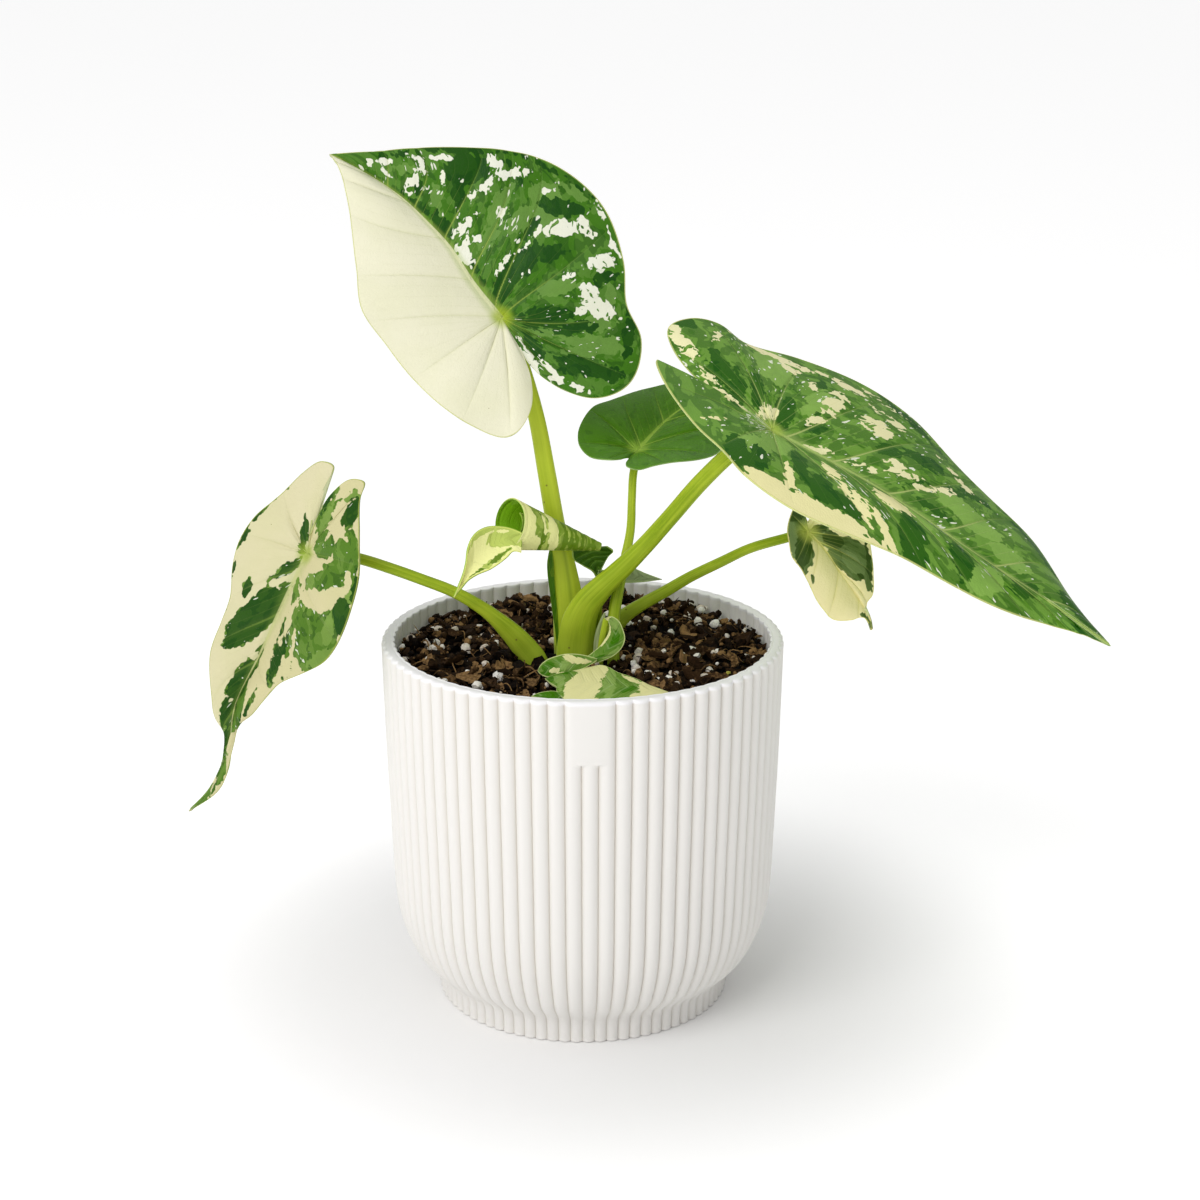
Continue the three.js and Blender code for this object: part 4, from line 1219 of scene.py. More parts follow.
@dataclass
class CoverPot:
    """The round pot: upright convex ribs, a foot band, a smooth rim and a smooth patch in front.

    Attributes:
        crests: places of a rib's grid columns, as parts of the rib's width.
        outline: height and radius over the rib crests, in mm.
    """

    height: float = 130.0
    rim_radius: float = 69.5
    rim_inner: float = 64.7
    wall: float = 4.4
    floor: float = 5.0
    floor_radius: float = 49.0
    ribs: int = 77
    rib_depth: float = 1.6
    rounding: float = 1.5
    inner_rib_depth: float = 1.0
    inner_rib_foot: float = 118.5
    patch_ribs: float = 3.0
    patch_foot: float = 108.5
    patch_turn: float = math.radians(2)
    crests: tuple[float, ...] = (-0.5, -0.455, -0.38, -0.27, -0.14, 0.0, 0.14, 0.27, 0.38, 0.455)
    outline: tuple[Pair, ...] = (
        (0.0, 51.2), (1.2, 51.3), (4.0, 51.4), (6.2, 51.55), (7.8, 51.9), (9.2, 52.6), (10.6, 53.8),
        (12.2, 55.6), (14.0, 57.6), (16.5, 59.6), (20.0, 61.5), (26.0, 64.0), (33.0, 65.8), (42.0, 66.8),
        (54.0, 67.3), (70.0, 67.9), (90.0, 68.6), (110.0, 69.1), (129.0, 69.5),
    )

    def radius(self, heights: np.ndarray) -> np.ndarray:
        """Radius over the rib crests at heights in mm."""
        curve = SmoothCurve([(r, z, 0.0) for z, r in self.outline])
        line = curve.at(np.linspace(0, 1, 600))
        return np.interp(heights, line[:, 1], line[:, 0])

    def rows(self) -> list[tuple[float, float, float]]:
        """Rows of the section from the underside's centre, up the outside and down the inside.

        Returns:
            Radius, height and groove depth of each row, in mm; a negative depth is an inner groove.
        """
        deep = self.rib_depth * 0.73
        rows = [(0.0, 0.0, 0.0), (25.0, 0.0, 0.0), (47.5, 0.0, 0.0), (50.5, 0.0, 0.8 * deep)]
        rows += [(51.2, 0.2, deep), (51.5, 0.45, deep), (51.5, 0.7, deep), (51.3, 0.95, deep)]
        low = [1.4, 3.0, 4.6, 5.8, 6.8, 7.6, 8.3]
        bend = list(np.linspace(9.0, 20.0, 14))
        body = list(np.linspace(22.0, 50.0, 13)) + list(np.linspace(56.0, 104.0, 9))
        patch = [107.0, 107.3, 107.6, 107.9, 108.15, 108.35, 108.48, 108.5, 110.0]
        top = [112.0, 118.0, 123.0, 127.0, self.height - self.rounding]
        heights = np.array(low + bend + body + patch + top)
        radii = self.radius(heights)
        for z, r in zip(heights, radii):
            rows.append((r, z, self.rib_depth * r / self.rim_radius))
        rim, inner, top_z, bend_radius = self.rim_radius, self.rim_inner, self.height, self.rounding
        for angle in (18.0, 36.0, 54.0, 72.0, 90.0):
            turn = math.radians(angle)
            r = rim - bend_radius * (1 - math.cos(turn))
            rows.append((r, top_z - bend_radius * (1 - math.sin(turn)), max(0.0, r - rim + self.rib_depth)))
        rows += [(rim - 1.9, top_z, 0.0), (inner + 1.5, top_z, 0.0), (inner + 1.25, top_z - 0.12, 0.0)]
        rows += [(inner + 1.0, top_z, 0.0), (inner + 0.5, top_z, -0.35), (inner + 0.15, top_z - 0.15, -0.65)]
        for z, part in ((129.6, 0.85), (129.2, 0.95), (128.5, 1.0), (127.2, 1.0), (119.5, 1.0)):
            rows.append((inner, z, -self.inner_rib_depth * part))
        rows.append((inner - 0.4, self.inner_rib_foot, 0.0))
        for z in (80.0, 40.0, 25.0, 14.0):
            rows.append((float(self.radius(np.array([z]))[0]) - self.wall, z, 0.0))
        rows += [(self.floor_radius, self.floor, 0.0), (0.0, self.floor, 0.0)]
        return rows

    def build(self) -> bpy.types.Object:
        """Makes the pot and hands it to the frame.

        Returns:
            The finished pot.
        """
        offsets = np.array([rib + crest for rib in range(self.ribs) for crest in self.crests])
        offsets = np.concatenate([offsets, offsets[:1] + self.ribs])
        angles = -np.pi / 2 + self.patch_turn + offsets / self.ribs * 2 * np.pi
        within = np.abs((offsets + 0.5) % 1 - 0.5) * 2
        arc = 1 - np.sqrt(np.clip(1 - within ** 2 * 0.98, 0, 1))
        groove = 0.5 * within ** 2 + 0.5 * arc / arc.max()
        from_patch = np.abs((offsets + self.ribs / 2) % self.ribs - self.ribs / 2)
        on_patch = from_patch < (self.patch_ribs - 1) / 2
        points, groove_shade = [], []
        for radius, height, depth in self.rows():
            sink = groove * max(depth, 0.0)
            if depth < 0:
                sink = groove * depth
            if height > 100 and depth > 0:
                part = max(0.0, min(1.0, (self.patch_foot - height) / 1.4)) ** 0.5
                sink = np.where(on_patch, part * sink, sink)
            reach = radius - sink
            row = [reach * np.cos(angles), reach * np.sin(angles), np.full(len(angles), height)]
            points.append(np.stack(row, -1))
            # painted shade kept for each point: the deeper in a groove, the darker
            groove_shade.append(0.7 * np.clip(np.abs(sink) / self.rib_depth, 0, 1) ** 2)
        pot = shaped_grid("pot_fine", np.array(points), {"groove": np.array(groove_shade)})
        weld(pot)
        outward(pot)
        smooth(pot, 48)
        pot.data.materials.append(PotFinish().build())
        carried(pot, "pot", "pot")
        return pot


@dataclass(frozen=True)
class BarkFinish:
    """Rough dark bark; each chip's own tone, with painted shade low down and painted light on top, is kept on
    the mesh.
    """

    name: str = "bark"
    black: str = "050302"
    brown: str = "372513"
    light: str = "92724a"

    def build(self) -> bpy.types.Material:
        """Makes the material; it reads the chips' tone attribute."""
        graph = Graph(self.name)
        plain = graph.places()
        tone = graph.value("tone")
        mottle = graph.noise(plain, 1.1, 4.0)
        level = graph.total(tone, graph.scaled(mottle, 0.7, -0.35))
        shade = graph.mix(graph.step(level, 0.1, 0.65), colour(self.black), colour(self.brown))
        shade = graph.mix(graph.step(level, 0.66, 1.05), shade, colour(self.light))
        long_grain = graph.add("Mapping", {"Vector": plain, "Scale": (0.5, 1.6, 3.0)}).outputs[0]
        fine = graph.scaled(graph.noise(plain, 3.0, 3.0), 0.4)
        normal = graph.bump(graph.total(graph.noise(long_grain, 1.0, 4.0), fine), 0.5, 1.0)
        return graph.surface(Base_Color=shade, Roughness=0.82, Normal=normal, Specular_IOR_Level=0.1)


@dataclass(frozen=True)
class GrainFinish:
    """Chalky white of the perlite grains."""

    name: str = "perlite"

    def build(self) -> bpy.types.Material:
        """Makes the material; it reads the grains' tone attribute."""
        graph = Graph(self.name)
        plain = graph.places()
        shade = graph.mix(graph.value("tone"), colour("cbb9a4"), colour("f3f1ea"))
        shade = graph.mix(graph.step(graph.value("tone"), 1.2, 1.25), shade, colour("b3ad45"))
        dirt = graph.step(graph.noise(plain, 0.8, 4.0), 0.52, 0.75)
        shade = graph.mix(graph.scaled(dirt, 0.45), shade, colour("8a735c"))
        height = graph.noise(plain, 1.8, 3.0)
        return graph.surface(Base_Color=shade, Roughness=0.85, Normal=graph.bump(height, 0.4, 1.0))


@dataclass
class Soil:
    """Bark soil that fills the pot: a bed, loose chips, fibres and pale grains on top.

    Attributes:
        clear: places where no chips lie high, as x, y and radius in mm.
    """

    level: float = 124.0
    rim: float = 63.85
    bump: float = 1.1
    hollow: float = 1.2
    seed: int = 23
    chips: int = 1150
    crumbs: int = 1500
    fibres: int = 420
    grains: int = 280
    clear: list[Point] = field(default_factory=list)

    def level_at(self, x: float, y: float) -> float:
        """Height of the bed at a place, in mm."""
        wave = math.sin(x * 0.31 + y * 0.17) + math.sin(y * 0.37 - x * 0.13 + 1.7)
        low = self.hollow if y < -19 and -24 < x < 34 else 0.0
        return self.level + 0.5 * self.bump * wave - low

    def covered(self, x: float, y: float) -> bool:
        """Whether the low leaf lies over a place, so that nothing may stand high there."""
        under_blade = -18 < x < 29 and y < -23 - 1.15 * abs(x - 4)
        return under_blade or (-17 < x < 9 and -34 < y < -18)

    def bed(self) -> bpy.types.Object:
        """The body of the soil, with a crumbly top."""
        angles = np.linspace(0, 2 * np.pi, 181)
        rows = [(0.0, 5.4), (47.8, 5.4), (52.0, 14.0), (58.2, 25.0), (61.2, 40.0), (self.rim, 118.0)]
        points = [
            np.stack([r * np.cos(angles), r * np.sin(angles), np.full(181, z)], -1) for r, z in rows
        ]
        for radius in np.linspace(self.rim, 0, 52):
            x, y = radius * np.cos(angles), radius * np.sin(angles)
            rough = 0.45 * np.sin(1.9 * x + 0.6 * np.sin(2.3 * y)) * np.sin(1.7 * y + 0.8 * np.sin(1.3 * x))
            z = np.array([self.level_at(a, b) for a, b in zip(x, y)]) + rough - 0.9
            points.append(np.stack([x, y, z], -1))
        shape = (len(points), 181)
        # dark soil, kept near black also as painted shade in the gaps between the chips
        bed = shaped_grid("soil_bed", np.array(points), {"tone": np.full(shape, 0.02)})
        weld(bed)
        outward(bed)
        smooth(bed, 40)
        return bed

    def chip_models(self, chance: random.Random) -> list[bpy.types.Object]:
        """A few torn and curled shreds of bark, ridged along their length.

        Args:
            chance: the seeded source of chance.

        Returns:
            Shreds of half length one, at the origin.
        """
        models = []
        along = np.linspace(-1, 1, 8)[:, None]
        around = np.linspace(0, 2 * np.pi, 11)
        for number in range(12):
            ridges = np.array([chance.uniform(0.6, 1.3) for _ in range(10)])
            ragged = np.array([[chance.uniform(0.8, 1.2) for _ in range(10)] for _ in range(8)]) * ridges
            ragged = np.concatenate([ragged, ragged[:, :1]], 1)
            taper = np.clip(1 - np.abs(along) ** chance.uniform(1.5, 6), 0, 1) ** 0.5
            bend = chance.uniform(-0.5, 0.5) * along ** 2
            across = chance.uniform(0.22, 0.55) * taper * ragged * np.cos(around) + bend
            high = chance.uniform(0.1, 0.28) * taper * ragged * np.sin(around)
            high = high + chance.uniform(-0.5, 0.5) * along ** 2
            high = high + chance.uniform(0, 1.5) * (across - bend) ** 2
            points = np.stack([along + 0.1 * ragged, across, high], -1)
            chip = shaped_grid(f"chip_model_{number}", points / MM)
            weld(chip)
            models.append(chip)
        return models

    def lump_models(self, name: str, rough: float) -> list[bpy.types.Object]:
        """A few small rough lumps of radius one.

        Args:
            name: start of their names.
            rough: how far their points are moved at random.

        Returns:
            The lumps, at the origin.
        """
        models = []
        for number in range(6):
            deselect_all()
            bpy.ops.mesh.primitive_ico_sphere_add(subdivisions=2, radius=1)
            lump = bpy.context.object
            lump.name = f"{name}_{number}"
            edited(lump, bpy.ops.transform.vertex_random, offset=rough, seed=number + 1)
            models.append(lump)
        return models

    def fibre_models(self) -> list[bpy.types.Object]:
        """A few thin bent strands."""
        models = []
        along = np.linspace(-1, 1, 8)[:, None]
        around = np.linspace(0, 2 * np.pi, 6)
        for number in range(4):
            sag = 0.35 * np.sin((1.2 + 0.5 * number) * along + number) + 0 * around
            sway = 0.2 * np.cos(2.1 * along - number) + 0 * around
            reach = 0.055 * np.sqrt(np.clip(1 - along ** 2, 0, 1))
            points = np.stack(
                [along + 0 * around, sway + reach * np.cos(around), sag + reach * np.sin(around)], -1)
            strand = shaped_grid(f"fibre_model_{number}", points / MM)
            weld(strand)
            models.append(strand)
        return models

    def strewn(self, name: str, models: list[bpy.types.Object], count: int, sizes: Pair, rise: Pair,
               tilt: float, tones: Pair, random_state: random.Random) -> bpy.types.Object:
        """Copies models all over the bed.

        Args:
            name: the joined object's name.
            models: the shapes that are copied.
            count: number of copies tried.
            sizes: smallest and largest half length, in mm.
            rise: lowest and highest centre above the bed, in mm.
            tilt: the usual tilt, in radians.
            tones: darkest and lightest tone.
            random_state: the seeded source of chance.

        Returns:
            All the copies in one object.
        """
        copies = []
        for number in range(count):
            model = models[number % len(models)]
            size = sizes[0] + (sizes[1] - sizes[0]) * random_state.random() ** 1.6
            radius = (self.rim - 0.75 * size) * math.sqrt(random_state.random())
            angle = random_state.uniform(0, 2 * math.pi)
            x, y = radius * math.cos(angle), radius * math.sin(angle)
            covered = self.covered(x, y)
            slope = 0.25 * tilt if covered else tilt
            lean = (random_state.gauss(0, slope), random_state.gauss(0, slope), random_state.uniform(0, 6.3))
            stretch = (1.0, random_state.uniform(0.7, 1.4), random_state.uniform(0.7, 1.5))
            lift = random_state.uniform(*rise)
            lift = rise[0] - 0.3 if covered else lift
            tone = random_state.uniform(*tones) ** 1.3
            blocked = any(math.hypot(x - cx, y - cy) < reach + 0.5 * size for cx, cy, reach in self.clear)
            if blocked:
                continue
            copy = model.copy()
            copy.data = model.data.copy()
            bpy.context.scene.collection.objects.link(copy)
            turn = Matrix.Rotation(lean[2], 4, "Z") @ Matrix.Rotation(lean[0], 4, "X")
            turn = turn @ Matrix.Rotation(lean[1], 4, "Y")
            place = Matrix.Translation(Vector((x, y, self.level_at(x, y) + lift)) * MM)
            scale = Matrix.Diagonal(Vector(stretch) * size * MM).to_4x4()
            copy.data.transform(place @ turn @ scale)
            level = self.level_at(x, y)
            # painted shade and light: each piece is darker where it lies below the bed's level and a little
            # lighter where it stands above it
            heights = np.array([corner.co.z for corner in copy.data.vertices]) / MM - level
            values = tone + 0.2 * np.clip(heights / 1.6, -1.5, 1)
            copy.data.attributes.new("tone", "FLOAT", "POINT").data.foreach_set("value", values)
            copies.append(copy)
        for model in models:
            bpy.data.objects.remove(model)
        return joined(name, copies)

    def build(self) -> None:
        """Makes the bed and what lies on it, and hands them to the frame."""
        chance = random.Random(self.seed)
        bark = BarkFinish().build()
        bed = self.bed()
        chips = self.strewn(
            "bark_chips", self.chip_models(chance), self.chips, (1.2, 4.8), (-0.6, 1.7), 0.45,
            (0, 0.85), chance)
        crumbs = self.strewn(
            "bark_crumbs", self.lump_models("crumb", 0.4), self.crumbs, (0.3, 1.3), (-0.2, 1.6), 0.6,
            (0, 0.9), chance)
        fibres = self.strewn(
            "bark_fibres", self.fibre_models(), self.fibres, (1.6, 5.0), (0.5, 2.0), 0.4, (0.3, 1.0), chance)
        grains = self.strewn(
            "perlite_grains", self.lump_models("grain", 0.26), self.grains, (0.35, 1.7), (0.3, 1.9), 0.8,
            (0, 1.1), chance)
        for piece in (chips, crumbs, fibres):
            outward(piece)
            smooth(piece, 45)
            piece.data.materials.append(bark)
        outward(grains)
        smooth(grains, 35)
        grains.data.materials.append(GrainFinish().build())
        bed.data.materials.append(bark)
        carried(bed, "soil", "soil")
        for piece in (chips, crumbs, fibres, grains):
            carried(piece, "soil")


TALL_LEAF = LeafBlade(
    name="tall_leaf",
    finish=LeafFinish(
        "tall_leaf_skin", mid="477a22", dark="244e09", pale="719a48", cream="f0eed2", splash="eef0df",
        vein="a3ba56", far_vein="6d9440", cream_vein="e0e2b4", hub="a8bd2c", margin="cfd38a", seed=3.0,
        wide=1.0, fine=0.6, flecks=0.1, islands=0.14, glow=0.4, vein_strength=0.65, vein_width=0.32,
        light=1.04,
    ),
    slot="tall_blade",
    face=(0.08, -0.94, 0.34),
    rib=[
        (-84, 18, 293), (-72.4, 19, 286.6), (-60.8, 17.2, 278.9), (-52.1, 15.1, 271),
        (-44.1, 12.7, 262.5), (-36.5, 9.3, 251.4), (-27, 6, 240),
    ],
    right=[
        (-84, 18, 293), (-66, 19, 294), (-51, 20, 295), (-27, 22, 294), (-12, 23, 290), (1, 21, 282),
        (9, 16, 273), (14, 11, 258), (15, 10, 244), (20, 5, 233), (18, 0, 222), (13, -3, 217),
        (4, -5, 215), (-7, -4, 218), (-16, -1, 224), (-22, 3, 233),
    ],
    left=[
        (-84, 18, 293), (-81, 16, 289), (-78, 12, 279), (-75, 4, 258), (-73, -1, 244), (-65, -4, 233),
        (-57, -7, 223), (-47, -11, 214), (-37, -14, 208), (-26, -15, 204), (-21, -14, 206),
        (-17, -10, 213), (-17, -5, 221), (-19, -1, 227), (-22, 3, 233),
    ],
    lobe_from=(8, 5),
    arch=2.5,
    wave=(4.5, 0.7),
    right_veins=[
        (0.28, 0.12), (0.42, 0.22), (0.6, 0.33), (0.8, 0.4), (0.97, 0.48), (1, 0.78), (1.13, 1.02),
        (1.25, 1.2), (1.45, 1.45),
    ],
    left_veins=[
        (0.2, 0.12), (0.38, 0.28), (0.59, 0.45), (0.8, 0.64), (1, 0.86), (1.1, 1.1), (1.27, 1.25),
        (1.45, 1.4),
    ],
    cream_base=(-1.3, 20),
    blotches=markings(
        cream=[
            (65, 10, 4, 1, -45), (62, 9, 4, 0.5, 0), (52, 24, 6, 1, -43), (54, 18, 3, 1.1, 60),
            (53, 13, 4, 1, -77), (46, 20, 3, 0.8, 42), (37, 36, 3, 1, -12), (31, 37, 6, 1.7, -50),
            (34, 28, 5, 1.2, -85), (24, 24, 3, 1.3, -75), (30, 13, 5, 1.5, 85), (25, 12, 3, 1.2, -60),
            (24, 7, 5, 2, 14), (11, 27, 2, 0.6, 85), (10, 22, 2, 0.5, 85), (12, 15, 4, 0.6, 80),
            (17, 43, 2, 1, -70), (5, 36, 8, 2.8, -50), (2, 40, 4, 2.6, 72), (-4, 41, 4, 0.9, -56),
            (1, 49, 5, 0.8, 16), (-7, 45, 7, 0.9, 26), (-9, 33, 2, 1, -50), (-12, 36, 5, 2.6, -45),
            (-7, 25, 2, 1, -50), (-16, 26, 4, 2.8, 22), (-21, 25, 7, 3.6, -13), (-18, 21, 2, 1.4, 45),
            (-17, -4, 7, 1.3, 17), (-24, -2, 4, 1, 2), (-30, -2, 7, 1.2, -18),
        ],
        dark=[
            (42, 28, 7, 5.4, -47), (39, 20, 6, 2, 38), (35, 9, 5, 2.6, 12), (45, 8, 6, 1.8, -5),
            (49, 12, 3, 1.4, 20), (62, 16, 7, 0.8, -50), (45, 34, 16, 1, -40), (19, 48, 13, 0.9, -12),
            (11, 40, 8, 3, -33), (13, 28, 5, 1.5, 84), (7, 16, 11, 4.1, -88), (6, 6, 4, 3.2, 44),
            (3, 26, 6, 2.6, -55), (27, 37, 2, 1.6, 70), (34, 39, 3, 1.2, -25), (17, 6, 5, 1.3, 18),
            (-11, 10, 9, 3.8, -52), (-20, 14, 8, 2.6, -48), (-31, 6, 11, 3.2, -29), (-38, 10, 8, 2.8, -32),
            (-35, 25, 8, 2.6, 50), (-14, 0, 5, 2.2, 6), (-16, 33, 4, 1.6, -55),
        ],
        pale=[
            (17, 40, 6, 4.6, -28), (26, 27, 8, 3, 78), (21, 16, 6, 2, 75), (-7, 20, 7, 2.1, -58),
            (-21, 31, 4, 2, 30), (-25, 21, 6, 2.8, -36), (-29, 14, 11, 3.2, -41), (-14, 6, 4, 1.6, -32),
            (43, 14, 5, 1.4, 48), (57, 14, 5, 1.8, -47), (11, 47, 6, 1.9, -4), (14, 33, 11, 4.6, -60),
        ],
    ),
)

BROAD_LEAF = LeafBlade(
    name="broad_leaf",
    finish=LeafFinish(
        "broad_leaf_skin", mid="648f3e", dark="395e1f", pale="8db35c", cream="eae4ac", splash="e9e5b6",
        vein="b7c67c", far_vein="7f9f52", cream_vein="d6d694", hub="a5bb55", margin="cdcf84", seed=11.0,
        mottle=0.8, flecks=0.1, islands=0.3, light=0.83, sheen=0.03, wide=1.2, fine=0.6, glow=0.25,
        vein_width=0.4, rib="a9c070",
    ),
    slot="broad_blade",
    face=(0.46, -0.3, 0.83),
    rib=[
        (177, -28, 135), (156, -27, 150), (134, -25, 164), (99, -20, 187), (63, -15, 206),
    ],
    right=[
        (177, -28, 135), (167, -13, 145), (155, 6, 162), (140, 16, 176), (130, 23, 185), (116, 33, 198),
        (98, 36, 210), (75, 31, 221), (56, 24, 228), (47, 23, 234), (37, 18, 237), (29, 8, 236),
        (31, 0, 230), (37, -7, 223), (45, -12, 217), (56, -14, 210),
    ],
    left=[
        (177, -28, 135), (170, -24, 137), (157, -28, 142), (139, -38, 151), (121, -43, 161),
        (105, -45, 170), (92, -49, 177), (68, -55, 190), (52, -53, 201), (45, -48, 207), (37, -41, 213),
        (28, -25, 223), (25, -9, 229), (33, -14, 223), (43, -13, 217), (56, -14, 210),
    ],
    lobe_from=(7, 7),
    arch=3.5,
    wave=(3.5, 0.6),
    right_veins=[
        (0.2, 0.08), (0.36, 0.2), (0.52, 0.34), (0.68, 0.48), (0.84, 0.62), (0.97, 0.78), (1.05, 0.98),
        (1.2, 1.2), (1.4, 1.42),
    ],
    left_veins=[
        (0.2, 0.1), (0.36, 0.22), (0.52, 0.36), (0.68, 0.5), (0.84, 0.66), (0.97, 0.82), (1.06, 1),
        (1.2, 1.2), (1.35, 1.38),
    ],
    cream_base=(-2.2, -2.5),
    blotches=markings(
        cream=[
            (-15, 40, 11, 2.6, 12), (-3, 38, 4, 4, 0), (6, 44, 7, 2.4, 24), (6, 33, 4, 1.2, -74),
            (18, 46, 8, 3, 5), (15, 30, 10, 3.8, 80), (12, 15, 5, 1.7, 55), (31, 29, 7, 5, 20),
            (36, 40, 6, 3, -15), (32, 51, 8, 2, -6), (43, 16, 4, 2.8, 30), (48, 14, 6, 1.4, 40),
            (56, 15, 7, 1.8, 38), (61, 19, 6, 1.6, 42), (18, 3, 5, 1.4, 20), (34, 6, 9, 1.2, 18),
            (66, 34, 9, 1.8, -28),
            (-45, 21, 3, 2.4, -50), (-39, 15, 8, 2.6, -36), (-27, 6, 9, 1.9, -36), (-15, 1, 7, 1, -8),
            (-4, 6, 4, 2.8, 60), (-31, 27, 3, 1, 80),
            (46, -6, 8, 4, 2), (35, -19, 8, 2, -46), (45, -22, 9, 1.5, -42), (29, -16, 4, 1.6, -45),
            (24, -11, 6, 1.6, -38), (6, -38, 10, 5, 0), (19, -36, 11, 5, 10), (32, -32, 10, 4, 20),
            (44, -31, 10, 2.4, 15), (10, -27, 6, 2, -66), (-20, -21, 4, 1.2, 35),
        ],
        dark=[
            (-26, 13, 8, 3, -52), (-17, 8, 8, 2.6, -66), (-11, 12, 8, 3, -70), (1, 12, 9, 4, -80),
            (9, 36, 5, 2.3, -86), (12, 18, 3, 1.5, 45), (13, 11, 5, 1.8, 42), (38, 20, 5, 2.8, 38),
            (51, 28, 8, 3.8, 20), (52, 13, 4, 1.2, 40), (65, 22, 5, 2.2, 30), (60, 6, 8, 1.8, 4),
            (44, 51, 15, 2.4, -22), (73, 29, 6, 3.6, 8), (102, 26, 14, 1.8, -32), (99, -3, 6, 3.6, 38),
            (123, 6, 12, 5, -10), (-24, 7, 9, 1.6, -44), (-42, 27, 4, 3, 20),
            (57, -19, 12, 5.4, -56), (74, -11, 8, 4, -54), (-9, -32, 8, 4.8, -80), (-2, -30, 7, 4.2, 80),
            (12, -18, 8, 3.2, -72), (21, -24, 7, 4.2, -74), (31, -24, 8, 4.2, 5),
        ],
        pale=[
            (-9, 32, 12, 8, -82), (10, 23, 11, 4, 80), (65, 16, 6, 4.4, 40), (76, 14, 12, 6, -6),
            (91, 8, 8, 5.2, 0), (2, -12, 10, 5.4, 78), (85, -12, 8, 5.2, 52), (-4, -22, 7, 4.6, 20),
            (57, -5, 5, 3, -25), (-9, 0, 10, 1.8, -6),
        ],
    ),
)

BACK_LEAF = LeafBlade(
    name="back_leaf",
    finish=LeafFinish(
        "back_leaf_skin", mid="4f782a", dark="3c601b", pale="618c36", cream="e6e2a8",
        vein="93b04e", far_vein="6a9038", cream_vein="93b04e", hub="93b04e", margin="55802a", seed=19.0,
        mottle=0.2, flecks=-3.0, specks=0.0, roughness=0.27, vein_strength=0.6, vein_width=0.4, glow=0.15,
        sheen=0.018, light=0.7,
    ),
    slot="back_blade",
    face=(0, -0.46, 0.88),
    rib=[
        (47, 47, 204), (38, 38, 203), (29, 28, 199), (19, 14, 192),
    ],
    right=[
        (47, 47, 204), (50, 40, 202), (51, 30, 198), (50, 18, 195), (46, 8, 193), (39, 2, 192),
        (30, -1, 191.5), (24, -3, 191), (19, -3, 190), (15, -1, 190.7), (16, 7, 191.5),
    ],
    left=[
        (47, 47, 204), (40, 48, 207), (32, 47, 208), (24, 43, 207.5), (17, 38, 207), (10, 32, 206),
        (4, 26, 205), (0.5, 19, 202), (-1.5, 12, 198), (-0.5, 6, 195), (3, 2, 193), (9, 1, 192.5),
        (13, 3, 192), (16, 7, 191.5),
    ],
    lobe_from=(3, 7),
    arch=1.5,
    wave=(2, 0.5),
    right_veins=[
        (0.3, 0.15), (0.6, 0.4), (0.95, 0.75), (1.1, 1.1), (1.3, 1.3),
    ],
    left_veins=[
        (0.3, 0.15), (0.62, 0.4), (0.97, 0.62), (1.02, 0.9), (1.12, 1.15), (1.35, 1.35),
    ],
    cream_base=(-9, -9),
)

SIDE_LEAF = LeafBlade(
    name="side_leaf",
    finish=LeafFinish(
        "side_leaf_skin", mid="54693a", dark="364a22", pale="6d8050", cream="dcd3a4",
        vein="aeb15c", far_vein="8c9a58", cream_vein="ccc57c", hub="a6ae52", margin="cfc97c", seed=27.0,
        wide=0.4, flecks=-3.0, vein_width=0.35, light=0.72, glow=0.15,
    ),
    slot="side_blade",
    face=(0.15, -0.9, 0.4),
    rib=[
        (100.5, 3.5, 130.5), (99.5, 5, 134.5), (97, 6.5, 139.5), (89.5, 11, 149.5), (84, 14, 157),
        (78.5, 15.5, 162.5),
    ],
    right=[
        (100.5, 3.5, 130.5), (100, 4.5, 133.5), (98.5, 6, 137), (99, 7, 139.5), (101, 8.5, 142),
        (101.5, 12.5, 148.5), (101, 16, 154), (100, 19.5, 160), (96.5, 22, 167), (89.5, 21.5, 171),
        (82, 19, 170), (78.5, 16.5, 166),
    ],
    left=[
        (100.5, 3.5, 130.5), (97.5, 3.5, 135), (93, 2.5, 134.5), (86.5, 2, 135), (83.5, 3.5, 138),
        (81, 5, 141.5), (78, 7, 147.5), (76, 8.5, 151), (73, 10.5, 154.5), (72, 13.5, 159),
        (71.5, 16.5, 163.5), (73.5, 19.5, 169.5), (75.5, 19.5, 172), (77, 17.5, 169), (78.5, 16.5, 166),
    ],
    lobe_from=(7, 8),
    arch=1.5,
    wave=(2, 0.3),
    right_veins=[
        (0.3, 0.18), (0.6, 0.42), (0.9, 0.7), (1, 0.95), (1.25, 1.25),
    ],
    left_veins=[
        (0.3, 0.18), (0.6, 0.42), (0.9, 0.7), (1, 0.95), (1.25, 1.25),
    ],
    cream_base=(20, 20),
    blotches=markings(
        dark=[
            (4, -5, 7, 2.9, -35), (11, -10, 1, 0.9, 50), (7, 6, 4, 2.6, 20), (1, 4, 3, 1.5, 60),
            (21, 12, 8, 1, -28), (-7, 0, 3, 1.8, 75), (23, 7, 2, 0.9, 10),
        ],
        green=[
            (1, -4, 11, 4, -24), (-6, -1, 5, 4, -75), (14, -8, 3, 0.5, -23), (15, 8, 9, 6, 25),
            (21, 7, 5, 3.2, 50), (7, 5, 6, 3, 16), (26, 8, 3, 1.4, -35), (37, 0, 3, 1.2, 6),
        ],
        pale=[(0, -6, 8, 1.4, -30), (4, 3, 5, 2.2, 8), (18, 7, 5, 2.6, 8)],
    ),
)

